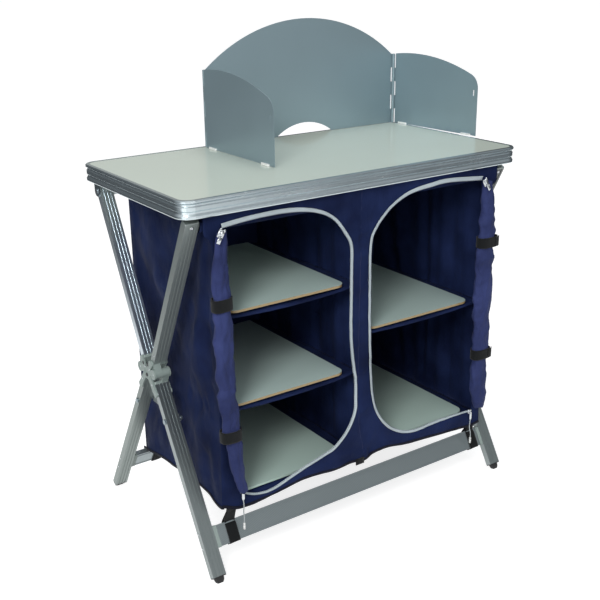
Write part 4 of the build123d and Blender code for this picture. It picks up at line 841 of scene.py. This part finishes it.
def sling(name, x0, x1, top, sag, seed):
    """Cloth under one board: it dips along the front, where a folded hem catches the light."""
    board_foot = top - BOARD_THICK
    run = 0.028    # the share of the depth that hangs in front

    def place(u, v):
        x = x0 + (x1 - x0) * u
        sink = sag * max(0.0, math.sin(math.pi * u)) ** 0.8
        if v < run:
            y, drop = -194.0 + 0.6 * v / run, sink + 4.5 * (1 - v / run)
        else:
            t = (v - run) / (1 - run)
            y, drop = -193.4 + 389 * t, sink * max(0.0, 1 - t * 5.5) ** 2 + 1.2
        wave = min(0.0, 0.8 * ripple(x, y, 30, seed))
        x = between_walls(x0, x1, u, y, top)
        lift = 5.5 * max(0.0, 1 - min(u, 1 - u) / 0.05)
        return (x, y + 0.8 * ripple(x, drop * 4, 22, seed), board_foot - drop - 1.0 + wave + lift * (v < 0.5) * 0.4)

    obj = cloth(name, 70, 72, place, ("shelf_slings",), 0.8)
    trim = band(name + "_hem", foot_of(place, 60, (0, -0.7, 1.6)), 4.6, "cloth", thick=1.4)
    soft(obj, with_pieces=[trim])


sling("sling_left_top", -352, -9, 561.0, 8.0, 51.0)
sling("sling_left_middle", -352, -9, 361.0, 8.0, 52.0)
sling("sling_right_middle", -5, 352, 447.0, 7.0, 53.0)


# -------- rolled doors

# Outlines of the rolls, read from the photograph: height, left edge, right edge.
LEFT_EDGES = np.array([
    (173, -331, -309), (186, -336, -311), (236, -350, -318), (257, -354, -318.5), (290, -358, -320),
    (303, -360, -320), (309, -367, -323), (330, -368, -324), (348, -367.7, -324), (380, -372, -327),
    (403, -375.5, -330), (416, -370, -330), (451, -379, -332), (505, -380, -331.6), (544, -378, -332),
    (575, -376, -334), (582, -374, -334), (610, -374, -334), (627, -376.5, -336.5), (650, -375, -337),
    (673, -372, -338.6), (705, -366, -337), (732, -362, -338)], float)
RIGHT_EDGES = np.array([
    (173, 338, 364.5), (200, 322.6, 372), (248, 314, 370), (300, 317.6, 368.5), (330, 319, 368.5), (350, 318, 370),
    (380, 317, 370), (430, 310, 371), (508, 314.8, 371), (565, 315.5, 372.5), (580, 318.5, 371.5),
    (605, 318.5, 371.5), (620, 318.7, 371), (653, 320.6, 364), (697, 321.7, 361), (716, 322, 352),
    (734, 326, 350)], float)

ROLL_Y = -221.0    # middle of the rolls
ROLL_BACK = -209.2    # nothing of a roll goes behind this, onto the front cloth


def across_roll(edges, z):
    """The middle and the half width of a roll at height z."""
    xl, xr = (float(np.interp(z, edges[:, 0], edges[:, k])) for k in (1, 2))
    return (xl + xr) / 2, (xr - xl) / 2


def roll(name, edges, side, tucks, seed):
    """A rolled door: four turns of cloth that start at the panel behind it. side is -1 or 1."""
    z_low, z_high = edges[0, 0], edges[-1, 0]
    rows, around, turns = 150, 36, 4.2
    columns = int(turns * around) + 1
    folds = ridges(tucks)
    verts = []
    for j in range(rows + 1):
        z = z_low + (z_high - z_low) * j / rows
        cx, half = across_roll(edges, z)
        deep = min(13.2, half * 0.62)
        flare = 1.6 * (bell(z - z_low, 30) - 0.5 * bell(z - z_high, 30))
        for i in range(columns):
            a = i / around    # turns from the start of the cloth
            shrink = 1 - 0.2 * a
            ang = math.pi / 2 + side * 2 * math.pi * a
            wave = 3.0 * crumple(ang * 20, z, 46, seed) + 1.5 * crumple(ang * 20, z * 0.8, 19, seed + 4) - 2.6
            if a >= 1.3:
                wave *= 0.3
            front = max(0.0, -math.sin(ang))
            crease = 1.5 * folds(-math.cos(ang) * 25, z) * (0.3 + 0.7 * front) if a < 1.25 else 0
            grow = 1 + (wave + crease) / 16
            x = cx + half * shrink * math.cos(ang) * min(1.06, grow)
            y = ROLL_Y + deep * shrink * math.sin(ang) * min(1.12, grow)
            ends = 3.2 * a * (bell(z - z_high, 14) - bell(z - z_low, 14))
            verts.append((x, min(y, ROLL_BACK), z - ends + flare * math.sin(3 * ang + seed)))
    return piece(name, verts, quads(rows + 1, columns), "door", "root", ("door_rolls",), 0.7)


left_roll = roll("door_roll_left", LEFT_EDGES, -1, [
    (-12, 700, 10, 610, 4, 2.0), (6, 725, -14, 640, 4, -2.0), (-4, 560, 12, 470, 5, 1.6), (-14, 500, -2, 410, 4, -1.8),
    (10, 460, 2, 380, 4, 1.6), (-16, 410, 12, 398, 4, 2.6), (-6, 380, 8, 325, 4, -1.8), (14, 300, -4, 230, 4, 1.8),
    (-12, 290, 4, 210, 4, -1.8), (8, 240, -2, 180, 4, 1.5), (0, 740, 4, 690, 3, -1.6), (-18, 350, 0, 330, 4, 1.6),
    (18, 620, 4, 540, 4, -1.4), (-20, 660, -8, 600, 4, 1.5)], 61.0)
right_roll = roll("door_roll_right", RIGHT_EDGES, 1, [
    (-14, 720, 2, 620, 4, 1.8), (10, 700, -6, 640, 4, -1.8), (-16, 560, 6, 470, 5, 1.6), (14, 540, 0, 400, 4, -1.8),
    (-10, 450, 12, 390, 4, 1.8), (4, 380, -14, 340, 4, -1.6), (12, 310, -6, 220, 4, 1.8), (-12, 300, 2, 215, 4, -1.8),
    (16, 640, 6, 600, 4, 1.6), (0, 250, 14, 190, 4, 1.6)], 71.0)


def squared(value, power):
    """A sine or cosine raised to power with its sign kept, which makes a circle squarer."""
    return math.copysign(abs(value) ** power, value)


def roll_strap(name, edges, z0, tall, side, tab=0.0, lean=0.0):
    """Webbing round a rolled door, sewn to the panel behind it. side is where its tab sticks out."""
    cx, half = across_roll(edges, z0)
    half, deep = half + 0.4, 14.0
    verts = []
    for k in range(41):
        a = math.radians(62 - 304 * k / 40)
        x, y = cx + half * squared(math.cos(a), 0.72), ROLL_Y + deep * squared(math.sin(a), 0.72)
        y, z = min(y, ROLL_BACK - 0.2), z0 + lean * (x - cx)
        verts += [(x, y + 0.25 * math.sin(5 * t + x), z + tall * (t - 0.5)) for t in (0, 0.12, 0.35, 0.65, 0.88, 1)]
    parts = [piece(name, verts, quads(41, 6), "webbing", "root", ("roll_straps",), 1.5)]
    if tab:
        flap = [(cx + side * (half * 0.4 + (half * 0.62 + tab) * t), ROLL_Y - deep * (1.04 - 0.55 * t**3), z0)
                for t in np.linspace(0, 1, 9)]
        parts.append(band(name + "_tab", flap, tall * 0.92, "webbing", thick=1.7))
    return parts


straps = [*roll_strap("roll_strap_left_upper", LEFT_EDGES, 592.0, 25.0, -1, lean=0.03),
          *roll_strap("roll_strap_left_lower", LEFT_EDGES, 313.0, 24.5, -1, lean=-0.02),
          *roll_strap("roll_strap_right_upper", RIGHT_EDGES, 592.0, 24.0, 1, tab=3.0),
          *roll_strap("roll_strap_right_lower", RIGHT_EDGES, 318.0, 24.0, 1, tab=3.0)]
for door in (left_roll, right_roll):
    soft(door)
fold_flat(*straps)


# -------- straps round the lower bars

PIN_Y, PIN_Z = 29.0, 392.0    # the hub's pins


def half_leg(out):
    """Middle line of a lower half-leg: a point on it, its direction and the way that its outer face looks."""
    lean = math.atan2(212.0, PIN_Z) + math.atan2(18.0, 445.29)
    down = Vector((0, out * math.sin(lean), -math.cos(lean)))
    face = Vector((0, out * math.cos(lean), math.sin(lean)))
    return Vector((0, out * PIN_Y, PIN_Z)) - face * 18.0, down, face


def lower_strap(end, side, x, z, hem_y, hem_z):
    """Webbing from the hem round a lower bar, seen from the side as one loop. end is front or rear."""
    out = -1 if end == "front" else 1
    base, down, face = half_leg(out)
    bar = base + down * ((z - base.z) / down.z)
    loop = [bar + down * a + face * b for a, b in (
        (-23.2, 6.9), (-12, 7.6), (12, 7.6), (22.6, 6.9), (23.4, 5.0), (23.4, -5.0), (22.6, -6.9), (-12, -7.4),
        (-23.2, -6.4))]
    spots = [(0, hem_y - 1.2 * out, hem_z), *(tuple(p) for p in loop), (0, hem_y + 1.2 * out, hem_z)]
    line = [(x + 0.02 * (p[2] - z), p[1], p[2]) for p in spline(spots, 90)]
    across = Vector((1, 0, 0.02)).normalized()
    verts = []
    for i, p in enumerate(line):
        up = across.cross(heading(line, i)).normalized()
        verts += [Vector(p) + across * (12.25 * t) + up * (0.5 * (1 - t * t)) for t in (k / 3 - 1 for k in range(7))]
    piece(f"lower_strap_{end}_{side}", verts, quads(len(line), 7), "webbing", f"lower_{end}",
          (f"{end}_lower_straps",), 1.5)


lower_strap("front", "left", -339.0, 76.0, -201.5, 136.0)
lower_strap("front", "right", 351.0, 76.0, -201.5, 127.0)
lower_strap("rear", "left", -314.0, 84.0, 197.0, 118.0)
lower_strap("rear", "right", 314.0, 84.0, 197.0, 118.0)

# Only a short end of the middle front strap shows, sewn to the hem.
hem_tab = [(-7.0, front_relief(-7, z) - 1.2 + 0.01 * (z - 144), z) for z in np.linspace(145, 130, 6)]
fold_flat(band("hem_tab_front_middle", hem_tab, 23.0, "webbing"))


# -------- zip sliders and cords

SLIDER_Y = FRONT_Y - 1.3
PULL_Y = SLIDER_Y - 4.5 - 1.6
UPPER_SLIDER_Y = -230.5
LEFT_PULL, RIGHT_PULL = (-318.0, 172.0), (329.0, 163.0)    # x and z of the lower sliders and their pulls
sliders = Bits()
for x, z in (LEFT_PULL, RIGHT_PULL):
    sliders.block((x, SLIDER_Y - 1.4, z), (9.0, 2.8, 12.0), 0.9)
    sliders.block((x, SLIDER_Y - 3.2, z + 0.5), (3.4, 2.2, 9.0), 0.7)
    sliders.tube([(x, SLIDER_Y - 2.4 - 2.4 * math.sin(t), z - 0.6 + 3.6 * math.cos(t))
                  for t in np.linspace(0.2, math.pi - 0.2, 11)], 0.7)
for x, z, s in ((-355.0, 731.5, -1), (321.5, 732.5, 1)):
    lean = Matrix.Rotation(-0.5 * s, 3, "Y")
    at = Vector((x, UPPER_SLIDER_Y, z))
    sliders.block(at, (13.5, 3.6, 16.5), 1.2, lean)
    sliders.block(at + lean @ Vector((0, -2.6, 1.5)), (4.8, 2.4, 11.5), 0.8, lean)
    for dx in (4.4, -4.4):
        sliders.block(at + lean @ Vector((dx, -0.6, 7.4)), (3.8, 4.0, 6.0), 0.8, lean)
    sliders.tube([at + lean @ Vector((2.6 * math.sin(t), -3.6 + 0.8 * math.cos(t), -3.4 - 3.0 * (1 - math.cos(t))))
                  for t in np.linspace(0, 2 * math.pi, 17)[:-1]], 0.65, 7, True)
    sliders.block(at + lean @ Vector((0.6 * s, -4.4, -13.0)), (8.0, 1.5, 13.0), 0.5, lean)
fold_flat(sliders.make("zip_slider_bodies", "steel", "root", "steel", ("zip_sliders",)))

TAB_WIDTH, TAB_THICK, TAB_TALL = 6.0, 1.6, 20.0
TIP_RADIUS, TIP_LENGTH = 2.6, 15.0


def pull(side, x, z, offsets, length):
    """A zip pull: a flat tab with an eye, the cord that hangs from it and the cord's moulded end."""
    body = f"{side}_zip_pull"
    half, low = TAB_WIDTH / 2, z - TAB_TALL
    turn = np.linspace(0, 2 * math.pi, 40, endpoint=False)
    rim = [(x + half * squared(math.cos(t), 0.35), (z + low) / 2 + TAB_TALL / 2 * squared(math.sin(t), 0.35))
           for t in turn]
    eye = [(x + 1.3 * math.cos(t), z - 3.4 + 1.3 * math.sin(t)) for t in turn]
    spots, faces = cut_out(rim, [eye], 0.9)
    tab = piece(f"zip_tab_{side}", [(a, PULL_Y, c) for a, c in spots], faces, "steel", body,
                (f"zip_pull_{side}",), thick=TAB_THICK)

    guide = bpy.data.curves.new("guide", "CURVE")
    guide.dimensions = "3D"
    guide.resolution_u = 10
    run = guide.splines.new("NURBS")
    run.points.add(len(offsets) - 1)
    for q, (dx, dy, dz) in zip(run.points, offsets):
        q.co = ((x + dx) * MM, (PULL_Y + dy) * MM, (low + dz) * MM, 1)
    run.order_u = 3
    run.use_endpoint_u = True
    holder = bpy.data.objects.new("guide", guide)
    route = bpy.data.meshes.new_from_object(holder)
    path = [tuple(v.co) for v in route.vertices]
    bpy.data.objects.remove(holder)
    bpy.data.meshes.remove(route)
    bpy.data.curves.remove(guide)

    strand = Bits()
    strand.tube([[c / MM for c in q] for q in path], 1.2, 10)
    line = strand.make(f"pull_cord_{side}", "cord", body, "pull_cord", (f"zip_cord_{side}",))
    end = Bits()
    end.lathe([c / MM for c in path[-1]], (0, 0, -1), [
        (1.3, -0.4), (2.2, 0), (TIP_RADIUS, 0.8), (TIP_RADIUS, 4.5), (2.2, 5.0), (2.2, 6.0), (TIP_RADIUS, 6.5),
        (TIP_RADIUS, TIP_LENGTH - 0.8), (1.6, TIP_LENGTH)])
    tip = end.make(f"cord_end_{side}", "white", body, "white_plastic", (f"cord_tip_{side}",))
    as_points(path)
    fold_flat(tab, line, tip)


pull("left", *LEFT_PULL, [(0, 0, 0), (0.9, -1.2, -14), (-1.1, -0.6, -28), (0.6, -1.3, -42), (0, -0.4, -55)], 0.055)
pull("right", *RIGHT_PULL, [(0, 0, 0), (-3.0, -1.2, -11), (-3.6, -2.0, -23), (2.6, -1.4, -37), (2.2, -0.6, -49)],
     0.050)


# -------- rivets, screws and recesses

def hardware(name, body, spots, key="steel", slot="steel"):
    """Small heads on flat faces: (kind, centre, axis, radius, height)."""
    bits = Bits()
    for kind, centre, axis, radius, height in spots:
        getattr(bits, kind)(centre, axis, radius, height)
    return bits.make(name, key, body, slot)


OUTER, PLATE = 411.0, 415.3    # outer faces of the legs and of the outer hub plate
SIDES = (-1, 1)
for s, side in zip(SIDES, ("left", "right")):
    out = (s, 0, 0)
    hardware(f"hub_screws_{side}", "root", [
        ("screw", (s * PLATE, y, z), out, 2.2, 0.9)
        for y, z in ((22.0, 366.5), (-22.0, 366.5), (5.3, 401.0), (-12.0, 398.0))])
    hardware(f"hub_sockets_{side}", "root", [
        ("screw", (s * PLATE, y, z), out, 4.0, 0.5)
        for y, z in ((12.8, 406.0), (-7.3, 408.0), (0.0, 383.0))], "black", "pale_plastic")
hardware("rivets_upper_front", "upper_front",
         [("rivet", (s * OUTER, -33.0, 436.0), (s, 0, 0), 1.7, 1.0) for s in SIDES]
         + [("screw", (s * 396.0, -194.9, 740.5), (0, -0.88, -0.475), 3.6, 1.4) for s in SIDES])
for name, body, spots in (
    ("rivets_lower_front", "lower_front", ((-40.3, 352.0), (-186.9, 88.7), (-202.3, 61.5))),
    ("rivets_lower_rear", "lower_rear", ((184.5, 98.7), (200.5, 71.0))),
):
    hardware(name, body, [("rivet", (s * OUTER, y, z), (s, 0, 0), 1.9, 1.1) for s in SIDES for y, z in spots])


# -------- floor and light

# The white floor ends outside the picture, so the left end of the table and its front's right reflect a dark room.
FLOOR = ((-4.2, -6), (0.9, -6), (1.2, -2.2), (1.6, -0.6), (9, 4.5), (70, 50), (70, 90), (20, 90), (-1.05, 0.9),
         (-1.75, -0.2))
FLOOR_GLOW = 0.80    # makes the floor white in the picture, with its shadow
floor_mesh = bpy.data.meshes.new("floor")
floor_mesh.from_pydata([(x, y, -0.0008) for x, y in FLOOR], [], [tuple(range(len(FLOOR)))])
floor = bpy.data.objects.new("floor", floor_mesh)
bpy.context.scene.collection.objects.link(floor)
white, ft, fs = new_material("white_floor")
put(fs, Base_Color=(0.45, 0.45, 0.45, 1), Roughness=0.9, Specular_IOR_Level=0.0, Emission_Color=(1, 1, 1, 1))
ray = node(ft, "ShaderNodeLightPath").outputs
seen = calc(ft, "MAXIMUM", ray["Is Camera Ray"], ray["Is Glossy Ray"])
seen = calc(ft, "MAXIMUM", seen, ray["Is Transmission Ray"])
ft.links.new(calc(ft, "MULTIPLY", seen, FLOOR_GLOW), fs.inputs["Emission Strength"])
floor_mesh.materials.append(white)

world = bpy.data.worlds.new("studio")
world.use_nodes = True
bpy.context.scene.world = world
wt = world.node_tree
way = node(wt, "ShaderNodeTexCoord").outputs["Generated"]


def facing(direction):
    """How far the view goes towards a direction: -1 to 1 where its length is 1."""
    return node(wt, "ShaderNodeVectorMath", {0: way, 1: direction}, operation="DOT_PRODUCT").outputs["Value"]


glow = ramp(wt, calc(wt, "MULTIPLY_ADD", facing((-0.50, -0.62, 0.60)), 0.5, 0.5), [
    (0.0, (0.05, 0.055, 0.06)), (0.45, (0.16, 0.17, 0.18)), (0.72, (0.50, 0.52, 0.54)), (1.0, (1.0, 1.0, 1.0))])
# A bright wall behind on the left, which the glossy board mirrors. It ends in an upright edge.
wall = ramp(wt, calc(wt, "ADD", facing((0.873, -0.488, 0)), 0.5), [
    (0.0, 0.0), (0.12, 1.0), (0.500, 1.0), (0.506, 0.0)])
ahead = ramp(wt, axes(wt, way)[1], [(0.35, 0.0), (0.5, 1.0)])
above = ramp(wt, axes(wt, way)[2], [(0.02, 0.0), (0.08, 1.0), (0.6, 1.0), (0.7, 0.0)])
wall = calc(wt, "MULTIPLY", calc(wt, "MULTIPLY", wall, ahead), above)
glow = node(wt, "ShaderNodeMix", {"Factor": wall, 6: glow, 7: (0.42, 0.43, 0.42, 1)}, data_type="RGBA").outputs[2]
wt.links.new(glow, wt.nodes["Background"].inputs["Color"])
wt.nodes["Background"].inputs["Strength"].default_value = 0.9


def lamp(name, place, aim, size, power):
    data = bpy.data.lights.new(name, "AREA")
    data.shape = "RECTANGLE"
    data.size, data.size_y = size
    data.energy = power
    obj = bpy.data.objects.new(name, data)
    obj.location = place
    obj.rotation_euler = (Vector(aim) - Vector(place)).to_track_quat("-Z", "Y").to_euler()
    bpy.context.scene.collection.objects.link(obj)
    return obj


lamp("key", (-2.3, -1.9, 2.3), (0, 0, 0.45), (1.0, 1.0), 60)
fill = lamp("front_fill", (1.2, -3.2, 1.3), (0, 0, 0.5), (2.0, 1.6), 10)
fill.visible_glossy = False
corner = lamp("corner", (-2.35, -1.30, 0.01), (-2.0, -1.1, 1.0), (1.4, 1.1), 7)
corner.visible_diffuse = False
lamp("top", (0.2, 0.3, 3.4), (0, 0, 0.6), (1.6, 1.6), 40)
